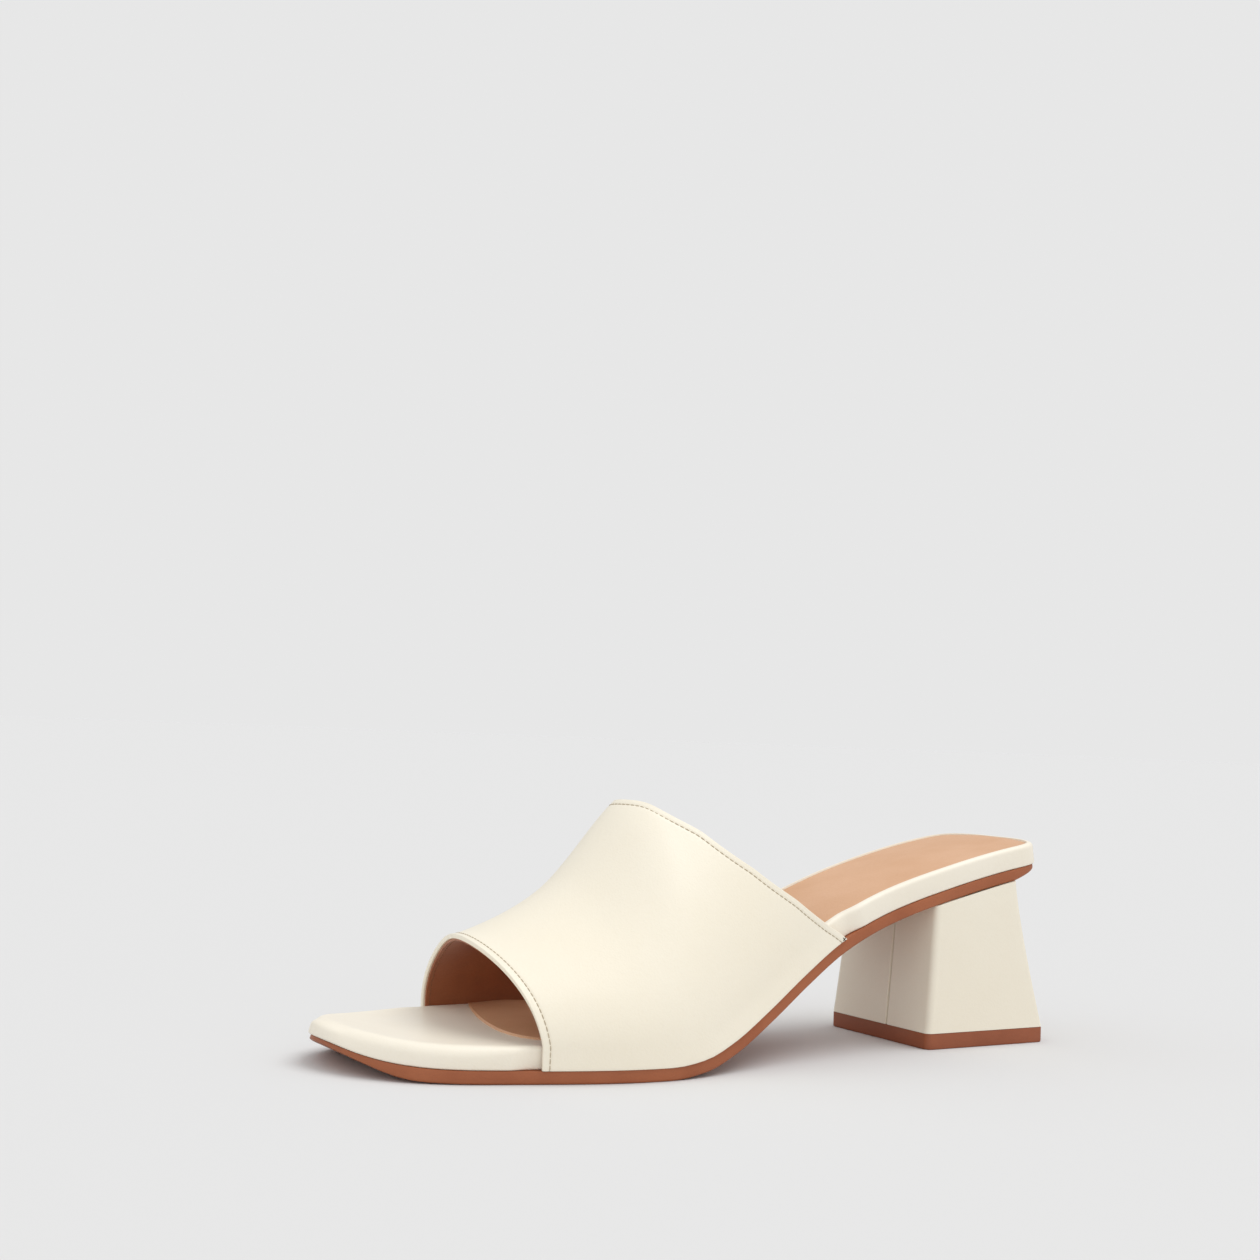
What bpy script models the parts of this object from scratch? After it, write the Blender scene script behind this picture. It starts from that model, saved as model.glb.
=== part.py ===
"""Open-toe mule with a block heel, left shoe: outsole, platform, sock lining, vamp, heel and heel tip.

Metres, +Z up. +X runs from heel to toe and +Y to the wearer's left, the outer side of this shoe.
The floor is at Z = 0. The origin is the centre of the heel tip's underside.
"""

import math
from collections import namedtuple

import bmesh
import bpy
import numpy as np

# Driving dimensions of the last
LENGTH = 0.238
BALL_WIDTH = 0.081
HEEL_RISE = 0.0537
TOE_SPRING = 0.0047
INSTEP_HEIGHT = 0.0640
TOE_OPENING_HEIGHT = 0.0250

# Sole, platform and sock lining
OUTSOLE_THICK = 0.0033
OUTSOLE_SKIVED = 0.0009
OUTSOLE_BACK_SKIVED = 0.0004
OUTSOLE_EDGE_ROUND = 0.0008
OUTSOLE_END_INSET = 0.0010
OUTSOLE_FOOT_END_INSET = 0.0010
SKIVE_LENGTH = 0.018
BACK_SKIVE_LENGTH = 0.0115
BACK_SKIVED_FLAT = 0.0035
PLATFORM_THICK = 0.0062
PLATFORM_ROUND = 0.0014
PLATFORM_TOE_ROUND = 0.0032
PLATFORM_TOE_THINNED = 0.0006
RIM_RISE = 0.0006
RIM_CREST = 0.0003
RIM_SLOPE = 0.0004
RECESS_DEPTH = 0.0009
TOE_ROUND_START = 0.050
TOE_ROUND_LENGTH = 0.024
THINNING_LENGTH = 0.012
PLATFORM_FOOT_ROUND = 0.0006
PLATFORM_INSET = 0.0002
SOCK_THICK = 0.0008
SOCK_EDGE_ROUND = 0.0003

# Vamp
VAMP_WALL = 0.0020
VAMP_OVERHANG = 0.0006
VAMP_FOOT_SWEEP = 0.0038
NECK_LENGTH = 0.007
NECK_REACH = 0.0015

# Heel
HEEL_TIP_THICK = 0.0048
HEEL_BACK_INSET = 0.0150
HEEL_TOP_LENGTH = 0.0335
HEEL_TOP_SIDE_INSET = 0.0016
HEEL_BACK_FLARE = 0.0108
HEEL_FRONT_FLARE = 0.0040
HEEL_SIDE_FLARE = 0.0018
HEEL_CORNER = 0.0022
HEEL_TIP_ROUND = 0.0005
HEEL_SHIFT = 0.0021

# Clearance between neighbouring pieces
GAP = 0.0003

# Mesh fineness
SOLE_STATIONS = 52
SOCK_STATIONS = 40
VAMP_STATIONS = 15
VAMP_ARCH_STEPS = 40
ROUND_STEPS = 3
CURVE_STEPS = 24
CURVE_WRAP = 4
HEEL_LEVELS = 6
HEEL_SIDE_STEPS = 6
SLOPE_STEP = 0.0005
CREASE_DEGREES = 35.0
SOFT_CREASE_DEGREES = 50.0

Plan = namedtuple("Plan", "along across")
Rise = namedtuple("Rise", "along height")
Edge = namedtuple("Edge", "around rear front")
Crown = namedtuple("Crown", "along rise ridge")
Front = namedtuple("Front", "sweep power")

# Outline of the sole: share of LENGTH from the heel's back, share of BALL_WIDTH to the wearer's left
OUTLINE = [
    Plan(0.000, -0.010),
    Plan(0.004, 0.180),
    Plan(0.019, 0.262),
    Plan(0.062, 0.290),
    Plan(0.120, 0.294),
    Plan(0.189, 0.298),
    Plan(0.315, 0.308),
    Plan(0.420, 0.362),
    Plan(0.525, 0.440),
    Plan(0.630, 0.505),
    Plan(0.723, 0.482),
    Plan(0.820, 0.397),
    Plan(0.905, 0.303),
    Plan(0.969, 0.152),
    Plan(0.993, 0.038),
    Plan(1.001, -0.086),
    Plan(0.998, -0.208),
    Plan(0.976, -0.325),
    Plan(0.905, -0.455),
    Plan(0.821, -0.515),
    Plan(0.723, -0.527),
    Plan(0.630, -0.466),
    Plan(0.525, -0.350),
    Plan(0.420, -0.262),
    Plan(0.315, -0.243),
    Plan(0.189, -0.280),
    Plan(0.120, -0.297),
    Plan(0.062, -0.303),
    Plan(0.019, -0.278),
    Plan(0.004, -0.198),
]

# Underside of the sole seen from the side: share of HEEL_RISE behind the ball
SHANK = [
    Rise(0.000, 1.000),
    Rise(0.084, 0.935),
    Rise(0.189, 0.828),
    Rise(0.273, 0.720),
    Rise(0.357, 0.570),
    Rise(0.420, 0.415),
    Rise(0.483, 0.248),
    Rise(0.546, 0.103),
    Rise(0.600, 0.024),
    Rise(0.650, 0.000),
    Rise(0.810, 0.000),
]

# The same line before the ball: share of TOE_SPRING
SPRING = [
    Rise(0.870, 0.020),
    Rise(0.910, 0.070),
    Rise(0.940, 0.190),
    Rise(0.960, 0.350),
    Rise(0.980, 0.610),
    Rise(1.000, 1.000),
]

# Edges of the vamp from its outer foot (0) over the crown (0.5) to its inner foot (1), shares of LENGTH
VAMP_EDGES = [
    Edge(0.00, 0.366, 0.802),
    Edge(0.12, 0.4550, 0.810),
    Edge(0.25, 0.5375, 0.821),
    Edge(0.38, 0.5955, 0.831),
    Edge(0.50, 0.6155, 0.832),
    Edge(0.62, 0.6005, 0.822),
    Edge(0.75, 0.5455, 0.810),
    Edge(0.88, 0.4625, 0.804),
    Edge(1.00, 0.372, 0.801),
]

# Crown of the vamp over the platform: 0 is TOE_OPENING_HEIGHT, 1 is INSTEP_HEIGHT. The ridge is the
# crown's place across, a share of BALL_WIDTH.
VAMP_CROWN = [
    Crown(0.36, 1.08, -0.020),
    Crown(0.46, 1.15, -0.026),
    Crown(0.55, 1.14, -0.031),
    Crown(0.60, 1.07, -0.034),
    Crown(0.63, 0.94, -0.035),
    Crown(0.66, 0.69, -0.038),
    Crown(0.70, 0.39, -0.041),
    Crown(0.74, 0.21, -0.044),
    Crown(0.78, 0.09, -0.046),
    Crown(0.82, 0.01, -0.048),
    Crown(0.85, 0.00, -0.050),
]

# Where the raised rim and the recess for the sock lining run out, under the vamp: shares of LENGTH
RIM_FULL_TO = 0.50
RIM_GONE_BY = 0.72

# How far the vamp's sections lean in like a tent: 0 is a half ellipse
TENT_AT_INSTEP = 0.32
TENT_AT_TOE = 0.08
TENT_FROM = 0.62
TENT_TO = 0.84

# Rounded front edge of the sock lining. It reaches furthest forward at its apex, and each side sweeps
# back from there, a length in shares of LENGTH, the steeper the higher the power.
SOCK_APEX = Plan(0.799, 0.110)
SOCK_FRONT = {1: Front(0.126, 3.0), -1: Front(0.057, 1.5)}

# How the outsole thickens from its skived back: 1 is straight, less is bellied
BACK_SKIVE_CURVE = 0.6

# How the heel's flare is spread over its height: 1 is straight, more is hollow under the seat
HEEL_FLARE_CURVE = 1.3

# How much of the outsole's edge round is left at the heel's back and the toe tip
ROUND_LEFT_AT_ENDS = 0.25


def smooth(xs, ys, x):
    """Cubic curve through the points that never overshoots them, so level stretches stay level."""
    xs = np.asarray(xs, float)
    ys = np.asarray(ys, float)
    step = np.diff(xs)
    slope = np.diff(ys) / step
    tangent = np.zeros(len(xs))
    for i in range(1, len(xs) - 1):
        if slope[i - 1] * slope[i] > 0.0:
            tangent[i] = 2.0 * slope[i - 1] * slope[i] / (slope[i - 1] + slope[i])
    tangent[0] = slope[0]
    tangent[-1] = slope[-1]
    x = np.clip(x, xs[0], xs[-1])
    i = np.clip(np.searchsorted(xs, x, side="right") - 1, 0, len(step) - 1)
    t = (x - xs[i]) / step[i]
    rest = 1.0 - t
    return (
        ys[i] * rest * rest * (1.0 + 2.0 * t)
        + ys[i + 1] * t * t * (3.0 - 2.0 * t)
        + tangent[i] * step[i] * t * rest * rest
        - tangent[i + 1] * step[i] * t * t * rest
    )


def evenly_bent(xs, ys, x):
    """Cubic curve through the points whose bend changes without a step."""
    xs = np.asarray(xs, float)
    ys = np.asarray(ys, float)
    step = np.diff(xs)
    slope = np.diff(ys) / step
    inner = len(xs) - 2
    rows = np.zeros((inner, inner))
    for k in range(inner):
        rows[k, k] = 2.0 * (step[k] + step[k + 1])
        if k > 0:
            rows[k, k - 1] = step[k]
        if k < inner - 1:
            rows[k, k + 1] = step[k + 1]
    bends = np.zeros(len(xs))
    bends[1:-1] = np.linalg.solve(rows, 6.0 * np.diff(slope))
    x = np.clip(x, xs[0], xs[-1])
    i = np.clip(np.searchsorted(xs, x, side="right") - 1, 0, len(step) - 1)
    t = (x - xs[i]) / step[i]
    rest = 1.0 - t
    return (
        ys[i] * rest
        + ys[i + 1] * t
        + step[i] ** 2 / 6.0 * ((rest ** 3 - rest) * bends[i] + (t ** 3 - t) * bends[i + 1])
    )


def closed_curve(points):
    """Evenly spaced points on a closed curve through the given ones, whose bend changes without a step."""
    wrapped = np.array(points[-CURVE_WRAP:] + points + points[:CURVE_WRAP + 1])
    lengths = np.concatenate([[0.0], np.cumsum(np.linalg.norm(np.diff(wrapped, axis=0), axis=1))])
    start, end = lengths[CURVE_WRAP], lengths[CURVE_WRAP + len(points)]
    places = np.linspace(start, end, CURVE_STEPS * len(points), endpoint=False)
    return np.column_stack([evenly_bent(lengths, wrapped[:, k], places) for k in (0, 1)])


def outline_sides():
    """Outer and inner half of the sole's outline, each from the back to the toe."""
    curve = closed_curve([np.array((p.along * LENGTH, p.across * BALL_WIDTH)) for p in OUTLINE])
    curve = np.roll(curve, -int(np.argmin(curve[:, 0])), axis=0)
    tip = int(np.argmax(curve[:, 0]))
    outer = curve[: tip + 1]
    inner = np.vstack([curve[tip:], curve[:1]])[::-1]
    return outer, inner


OUTER_SIDE, INNER_SIDE = outline_sides()
SOLE_BACK = OUTER_SIDE[0, 0]
SOLE_TIP = OUTER_SIDE[-1, 0]


def outer_edge(x):
    return np.interp(x, OUTER_SIDE[:, 0], OUTER_SIDE[:, 1])


def inner_edge(x):
    return np.interp(x, INNER_SIDE[:, 0], INNER_SIDE[:, 1])


def underside(x):
    """Height of the sole's underside over the floor, before its ends are skived."""
    rows = [(p.along, p.height * HEEL_RISE) for p in SHANK]
    rows += [(p.along, p.height * TOE_SPRING) for p in SPRING]
    alongs, heights = zip(*rows)
    return smooth(alongs, heights, np.asarray(x, float) / LENGTH)


def lifted(x, height):
    """Place (X, Z) of the point at a height square over the underside's point at x."""
    slope = (underside(x + SLOPE_STEP) - underside(x - SLOPE_STEP)) / (2.0 * SLOPE_STEP)
    size = np.sqrt(1.0 + slope * slope)
    return x - height * slope / size, underside(x) + height / size


def ease(t):
    """Smooth step from 0 to 1."""
    t = np.clip(t, 0.0, 1.0)
    return t * t * (3.0 - 2.0 * t)


def skive(x):
    """How far the outsole's underside is cut up towards the heel's back and the toe tip."""
    grown = np.clip((x - SOLE_BACK - BACK_SKIVED_FLAT) / BACK_SKIVE_LENGTH, 0.0, 1.0) ** BACK_SKIVE_CURVE
    from_back = (OUTSOLE_THICK - OUTSOLE_BACK_SKIVED) * (1.0 - grown)
    to_tip = (OUTSOLE_THICK - OUTSOLE_SKIVED) * ease((x - SOLE_TIP + SKIVE_LENGTH) / SKIVE_LENGTH)
    return np.maximum(from_back, to_tip)


def end_share(x):
    """1 at the heel's back and at the toe tip, 0 between them."""
    from_back = 1.0 - ease((x - SOLE_BACK) / SKIVE_LENGTH)
    return np.maximum(from_back, ease((x - SOLE_TIP + SKIVE_LENGTH) / SKIVE_LENGTH))


def vamp_edge(around, column):
    places = [getattr(edge, column) for edge in VAMP_EDGES]
    return LENGTH * evenly_bent([edge.around for edge in VAMP_EDGES], places, around)


def under_vamp(x, side):
    """1 where the vamp hangs over the platform's side, easing to 0 in front of it and behind it."""
    foot = 0.0 if side > 0 else 1.0
    rear = vamp_edge(foot, "rear") - VAMP_FOOT_SWEEP - NECK_REACH
    front = vamp_edge(foot, "front") + NECK_REACH
    return ease((x - rear + NECK_LENGTH) / NECK_LENGTH) * ease((front + NECK_LENGTH - x) / NECK_LENGTH)


def stations(start, end, count):
    """Places along X, closer together at both ends."""
    return [start + (end - start) * 0.5 * (1.0 - math.cos(math.pi * i / count)) for i in range(count + 1)]


def sole_ladder():
    """The sole's outline as two sides of points with like X, from the back to the tip."""
    xs = stations(SOLE_BACK, SOLE_TIP, SOLE_STATIONS)
    outer = [(x, float(outer_edge(x))) for x in xs]
    inner = [(x, float(inner_edge(x))) for x in xs]
    return outer, inner


def ring_of(outer, inner):
    """Closed ring of plan points: up the outer side and back down the inner side."""
    return np.array(list(outer) + list(inner[-2:0:-1]))


def inset_ring(ring, insets):
    """The ring moved inwards by its own inset at each point."""
    ahead = np.roll(ring, -1, axis=0)
    behind = np.roll(ring, 1, axis=0)
    run = ahead - behind
    run /= np.linalg.norm(run, axis=1)[:, None]
    inward = np.stack([run[:, 1], -run[:, 0]], axis=1)
    return ring + inward * np.asarray(insets)[:, None]


def sides_of(ring):
    """+1 for the ring's points on the outer side, -1 for those on the inner side."""
    half = len(ring) // 2
    return [1 if i <= half else -1 for i in range(len(ring))]


def ring_on_sole(ring, inset, height):
    """Ring of points over the sole. Inset and height are functions of x and side."""
    sides = sides_of(ring)
    insets = [inset(x, side) for (x, _), side in zip(ring, sides)]
    moved = inset_ring(ring, insets)
    points = []
    for (x, y), side in zip(moved, sides):
        lifted_x, z = lifted(x, height(x, side))
        points.append((float(lifted_x), float(y), float(z)))
    return points


def material(name, colour, roughness):
    """Leather or rubber, with the colour given as display values of 0 to 255."""
    linear = [((c / 255.0 + 0.055) / 1.055) ** 2.4 for c in colour]
    made = bpy.data.materials.new(name)
    made.use_nodes = True
    shader = made.node_tree.nodes["Principled BSDF"]
    shader.inputs["Base Color"].default_value = (*linear, 1.0)
    shader.inputs["Roughness"].default_value = roughness
    shader.inputs["Metallic"].default_value = 0.0
    return made


def finish(name, mesh_builder, surface, parent, sharp_degrees=CREASE_DEGREES):
    """Object of one sub-part from a filled bmesh, shaded smooth but for its sharp edges."""
    bmesh.ops.recalc_face_normals(mesh_builder, faces=mesh_builder.faces)
    bmesh.ops.triangulate(mesh_builder, faces=mesh_builder.faces)
    mesh = bpy.data.meshes.new(name)
    mesh_builder.to_mesh(mesh)
    mesh_builder.free()
    mesh.materials.append(surface)
    mesh.shade_smooth()
    mesh.set_sharp_from_angle(angle=math.radians(sharp_degrees))
    made = bpy.data.objects.new(name, mesh)
    bpy.context.scene.collection.objects.link(made)
    made.parent = parent
    return made


def loft(rings):
    """Closed solid through rings of equal length; its two caps are ladders between the ring's sides."""
    solid = bmesh.new()
    loops = [[solid.verts.new(p) for p in ring] for ring in rings]
    count = len(rings[0])
    for lower, upper in zip(loops, loops[1:]):
        for k in range(count):
            solid.faces.new((lower[k], lower[(k + 1) % count], upper[(k + 1) % count], upper[k]))
    for loop in (loops[0], loops[-1]):
        for k in range(count // 2):
            corners = [loop[k], loop[k + 1], loop[-k - 1], loop[-k] if k else loop[0]]
            solid.faces.new(list(dict.fromkeys(corners)))
    return solid


def outsole(parent):
    ring = ring_of(*sole_ladder())

    def side_inset(x, _):
        return OUTSOLE_END_INSET * end_share(x)

    def foot_inset(x, _):
        return OUTSOLE_EDGE_ROUND + OUTSOLE_FOOT_END_INSET * end_share(x)

    def foot_round(x):
        return OUTSOLE_EDGE_ROUND * (1.0 - (1.0 - ROUND_LEFT_AT_ENDS) * end_share(x))

    rings = [
        ring_on_sole(ring, foot_inset, lambda x, _: skive(x)),
        ring_on_sole(ring, side_inset, lambda x, _: skive(x) + foot_round(x)),
        ring_on_sole(ring, side_inset, lambda x, _: OUTSOLE_THICK),
    ]
    surface = material("outsole", (154, 91, 64), 0.6)
    return finish("outsole", loft(rings), surface, parent)


def platform_side(x, side):
    """Inset of the platform's side from the sole's outline."""
    tucked = VAMP_WALL - VAMP_OVERHANG + GAP
    return PLATFORM_INSET + (tucked - PLATFORM_INSET) * under_vamp(x, side)


def edge_round(x):
    """Radius of the platform's upper edge, which grows towards the toe tip."""
    toe_share = ease((x - SOLE_TIP + TOE_ROUND_START) / TOE_ROUND_LENGTH)
    return PLATFORM_ROUND + (PLATFORM_TOE_ROUND - PLATFORM_ROUND) * toe_share


def rim_share(x):
    """1 where the rim stands up round the sock lining, easing to 0 towards the toes."""
    return 1.0 - ease((x / LENGTH - RIM_FULL_TO) / (RIM_GONE_BY - RIM_FULL_TO))


def platform_crest(x):
    """Height of the platform's rim over the sole's underside, thinned at the toe tip."""
    tip_share = ease((x - SOLE_TIP + THINNING_LENGTH) / THINNING_LENGTH)
    plain = OUTSOLE_THICK + GAP + PLATFORM_THICK - PLATFORM_TOE_THINNED * tip_share
    return plain + RIM_RISE * rim_share(x)


def platform_floor(x):
    """Height of the face that the sock lining lies on."""
    return platform_crest(x) - (RIM_RISE + RECESS_DEPTH) * rim_share(x)


def rim_inset(x, side):
    """Inset of the rim's inner foot from the sole's outline."""
    return platform_side(x, side) + edge_round(x) + RIM_CREST + RIM_SLOPE


def platform(parent):
    ring = ring_of(*sole_ladder())
    base = OUTSOLE_THICK + GAP
    rings = [
        ring_on_sole(ring, lambda x, s: platform_side(x, s) + PLATFORM_FOOT_ROUND, lambda x, s: base),
        ring_on_sole(ring, platform_side, lambda x, s: base + PLATFORM_FOOT_ROUND),
    ]
    for k in range(ROUND_STEPS + 1):
        turn = 0.5 * math.pi * k / ROUND_STEPS
        rings.append(
            ring_on_sole(
                ring,
                lambda x, s, t=turn: platform_side(x, s) + edge_round(x) * (1.0 - math.cos(t)),
                lambda x, s, t=turn: platform_crest(x) - edge_round(x) * (1.0 - math.sin(t)),
            )
        )
    rings.append(
        ring_on_sole(
            ring,
            lambda x, s: platform_side(x, s) + edge_round(x) + RIM_CREST,
            lambda x, s: platform_crest(x),
        )
    )
    rings.append(ring_on_sole(ring, rim_inset, lambda x, s: platform_floor(x)))
    surface = material("platform_leather", (245, 238, 220), 0.42)
    return finish("platform", loft(rings), surface, parent, SOFT_CREASE_DEGREES)


def sock_side(line, side):
    """One side of the sock lining, from the back to the apex of its front edge."""
    apex_x = SOCK_APEX.along * LENGTH
    apex_y = SOCK_APEX.across * BALL_WIDTH
    front = SOCK_FRONT[side]
    sweep = front.sweep * LENGTH
    corner_y = float(np.interp(apex_x - sweep, line[:, 0], line[:, 1]))
    points = []
    for x in stations(float(line[0, 0]), apex_x, SOCK_STATIONS):
        if x < apex_x - sweep:
            y = float(np.interp(x, line[:, 0], line[:, 1]))
        else:
            y = apex_y + (corner_y - apex_y) * max(0.0, (apex_x - x) / sweep) ** (1.0 / front.power)
        points.append((x, y))
    return points


def sock_ring():
    """Outline of the sock lining: inside the platform's rim, with a rounded front edge."""
    outer, inner = sole_ladder()
    ring = ring_of(outer, inner)
    ring = inset_ring(ring, [rim_inset(x, side) + GAP for (x, _), side in zip(ring, sides_of(ring))])
    outer_line = ring[: SOLE_STATIONS + 1]
    inner_line = np.vstack([ring[SOLE_STATIONS:], ring[:1]])[::-1]
    return ring_of(sock_side(outer_line, 1), sock_side(inner_line, -1))


def sock_lining(parent):
    ring = sock_ring()

    def base(x):
        return platform_floor(x) + GAP

    rings = [
        ring_on_sole(ring, lambda x, s: 0.0, lambda x, s: base(x)),
        ring_on_sole(ring, lambda x, s: 0.0, lambda x, s: base(x) + SOCK_THICK - SOCK_EDGE_ROUND),
        ring_on_sole(ring, lambda x, s: SOCK_EDGE_ROUND, lambda x, s: base(x) + SOCK_THICK),
    ]
    surface = material("sock_leather", (205, 156, 116), 0.5)
    return finish("sock_lining", loft(rings), surface, parent)


def crown_height(x):
    """Height of the vamp's crown over the platform."""
    rise = smooth([c.along for c in VAMP_CROWN], [c.rise for c in VAMP_CROWN], x / LENGTH)
    return TOE_OPENING_HEIGHT + (INSTEP_HEIGHT - TOE_OPENING_HEIGHT) * rise


def crown_ridge(x):
    return BALL_WIDTH * smooth([c.along for c in VAMP_CROWN], [c.ridge for c in VAMP_CROWN], x / LENGTH)


def tent(x):
    along = ease((x / LENGTH - TENT_FROM) / (TENT_TO - TENT_FROM))
    return TENT_AT_INSTEP + (TENT_AT_TOE - TENT_AT_INSTEP) * along


def vamp_section(station, turn):
    """Point of the vamp's outer face over a station of the sole, at an angle from 0 to pi over the arch."""
    base_x, base_z = lifted(station, OUTSOLE_THICK + GAP + PLATFORM_THICK)
    ridge = crown_ridge(base_x)
    if turn < 0.5 * math.pi:
        edge = outer_edge(station) + VAMP_OVERHANG
    else:
        edge = inner_edge(station) - VAMP_OVERHANG
    across = abs(math.cos(turn))
    y = ridge + (edge - ridge) * across * (1.0 - tent(base_x) * (1.0 - across * across))
    return float(base_x), float(y), float(base_z + crown_height(base_x) * math.sin(turn))


def vamp_grid():
    """Rows of points of the vamp's outer face, from its outer foot over the crown to its inner foot."""
    turns = [math.pi * j / VAMP_ARCH_STEPS for j in range(VAMP_ARCH_STEPS + 1)]
    rows = []
    for side, around, turn in [(1, 0.0, None)] + [(0, t / math.pi, t) for t in turns] + [(-1, 1.0, None)]:
        rear = float(vamp_edge(around, "rear"))
        front = float(vamp_edge(around, "front"))
        if turn is None:
            rear -= VAMP_FOOT_SWEEP
        row = []
        for i in range(VAMP_STATIONS + 1):
            station = rear + (front - rear) * i / VAMP_STATIONS
            if turn is None:
                x, z = lifted(station, OUTSOLE_THICK + GAP)
                edge = outer_edge(station) if side > 0 else inner_edge(station)
                row.append((float(x), float(edge) + side * VAMP_OVERHANG, float(z)))
            else:
                row.append(vamp_section(station, turn))
        rows.append(row)
    return np.array(rows)


def vamp_lining_grid(outer):
    """The vamp's inner face: its outer face moved in by the wall, square to the leather."""
    along = np.gradient(outer, axis=1)
    around = np.gradient(outer, axis=0)
    normal = np.cross(along, around)
    normal /= np.linalg.norm(normal, axis=2)[:, :, None]
    if normal[len(outer) // 2, 0, 2] < 0.0:
        normal = -normal
    inner = outer - VAMP_WALL * normal
    for row in (0, 1):
        inner[row] = outer[row] - (0.0, VAMP_WALL, 0.0)
        inner[-1 - row] = outer[-1 - row] + (0.0, VAMP_WALL, 0.0)
    return inner


def vamp(parent):
    outer = vamp_grid()
    inner = vamp_lining_grid(outer)
    solid = bmesh.new()
    faces = [[[solid.verts.new(p) for p in row] for row in grid] for grid in (outer, inner)]
    rows = len(outer)
    columns = len(outer[0])
    for skin in faces:
        for j in range(rows - 1):
            for i in range(columns - 1):
                solid.faces.new((skin[j][i], skin[j][i + 1], skin[j + 1][i + 1], skin[j + 1][i]))
    out_skin, in_skin = faces
    for j in (0, rows - 1):
        for i in range(columns - 1):
            solid.faces.new((out_skin[j][i], out_skin[j][i + 1], in_skin[j][i + 1], in_skin[j][i]))
    for i in (0, columns - 1):
        for j in range(rows - 1):
            solid.faces.new((out_skin[j][i], out_skin[j + 1][i], in_skin[j + 1][i], in_skin[j][i]))
    surface = material("vamp_leather", (245, 238, 220), 0.42)
    return finish("vamp", solid, surface, parent, SOFT_CREASE_DEGREES)


def heel_limits(share):
    """Back, front, middle and half-width of the heel at a share of its height, from its tip to the seat."""
    below = 1.0 - share
    back = SOLE_BACK + HEEL_BACK_INSET
    front = back + HEEL_TOP_LENGTH
    seat = 0.5 * (back + front)
    half = 0.5 * float(outer_edge(seat) - inner_edge(seat)) - HEEL_TOP_SIDE_INSET
    middle = 0.5 * float(outer_edge(seat) + inner_edge(seat)) + HEEL_SHIFT
    return (
        back - HEEL_BACK_FLARE * below ** HEEL_FLARE_CURVE,
        front + HEEL_FRONT_FLARE * below,
        middle,
        half + HEEL_SIDE_FLARE * below,
    )


def heel_plan(share):
    """Rounded rectangle of the heel at a share of its height, as a ring of plan points."""
    back, front, middle, half = heel_limits(share)
    sides = {}
    for side in (1, -1):
        line = [(back, middle)]
        for k in range(ROUND_STEPS + 1):
            turn = 0.5 * math.pi * k / ROUND_STEPS
            x = back + HEEL_CORNER * (1.0 - math.cos(turn))
            y = half - HEEL_CORNER * (1.0 - math.sin(turn))
            line.append((x, middle + side * y))
        reach = front - back - 2.0 * HEEL_CORNER
        for k in range(1, HEEL_SIDE_STEPS):
            line.append((back + HEEL_CORNER + reach * k / HEEL_SIDE_STEPS, middle + side * half))
        for k in range(ROUND_STEPS + 1):
            turn = 0.5 * math.pi * k / ROUND_STEPS
            x = front - HEEL_CORNER * (1.0 - math.sin(turn))
            y = half - HEEL_CORNER * (1.0 - math.cos(turn))
            line.append((x, middle + side * y))
        line.append((front, middle))
        sides[side] = line
    return ring_of(sides[1], sides[-1])


def heel_block(parent):
    base = HEEL_TIP_THICK + GAP
    rings = []
    for k in range(HEEL_LEVELS + 1):
        share = k / HEEL_LEVELS
        ring = heel_plan(share)
        rings.append(
            [(float(x), float(y), base + share * (float(underside(x)) - GAP - base)) for x, y in ring]
        )
    surface = material("heel_leather", (240, 232, 216), 0.42)
    return finish("heel_block", loft(rings), surface, parent)


def heel_tip(parent):
    ring = heel_plan(0.0)
    rings = [
        [(x, y, 0.0) for x, y in inset_ring(ring, [HEEL_TIP_ROUND] * len(ring))],
        [(x, y, HEEL_TIP_ROUND) for x, y in ring],
        [(x, y, HEEL_TIP_THICK) for x, y in ring],
    ]
    surface = material("heel_tip", (140, 82, 58), 0.6)
    return finish("heel_tip", loft(rings), surface, parent)


def build():
    for old in list(bpy.data.objects):
        bpy.data.objects.remove(old, do_unlink=True)
    back, front, middle, _ = heel_limits(0.0)
    frame = bpy.data.objects.new("shoe_frame", None)
    frame.location = (-0.5 * (back + front), -middle, 0.0)
    bpy.context.scene.collection.objects.link(frame)
    for piece in (outsole, platform, sock_lining, vamp, heel_block, heel_tip):
        piece(frame)
    bpy.context.view_layer.update()


build()
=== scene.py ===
# %% [markdown]
# # An open-toe mule with a block heel
# This notebook dresses one left shoe: a cream leather mule with a broad band over the instep, a wrapped
# platform, a tan sock lining, a thin brown outsole and a flared heel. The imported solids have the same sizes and
# places. Each piece that shows is made again here, finer than its solid and in the same place.

# %% The frame
import math
from collections import namedtuple

import bmesh
import bpy
import numpy as np
from mathutils import Matrix, Vector


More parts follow.
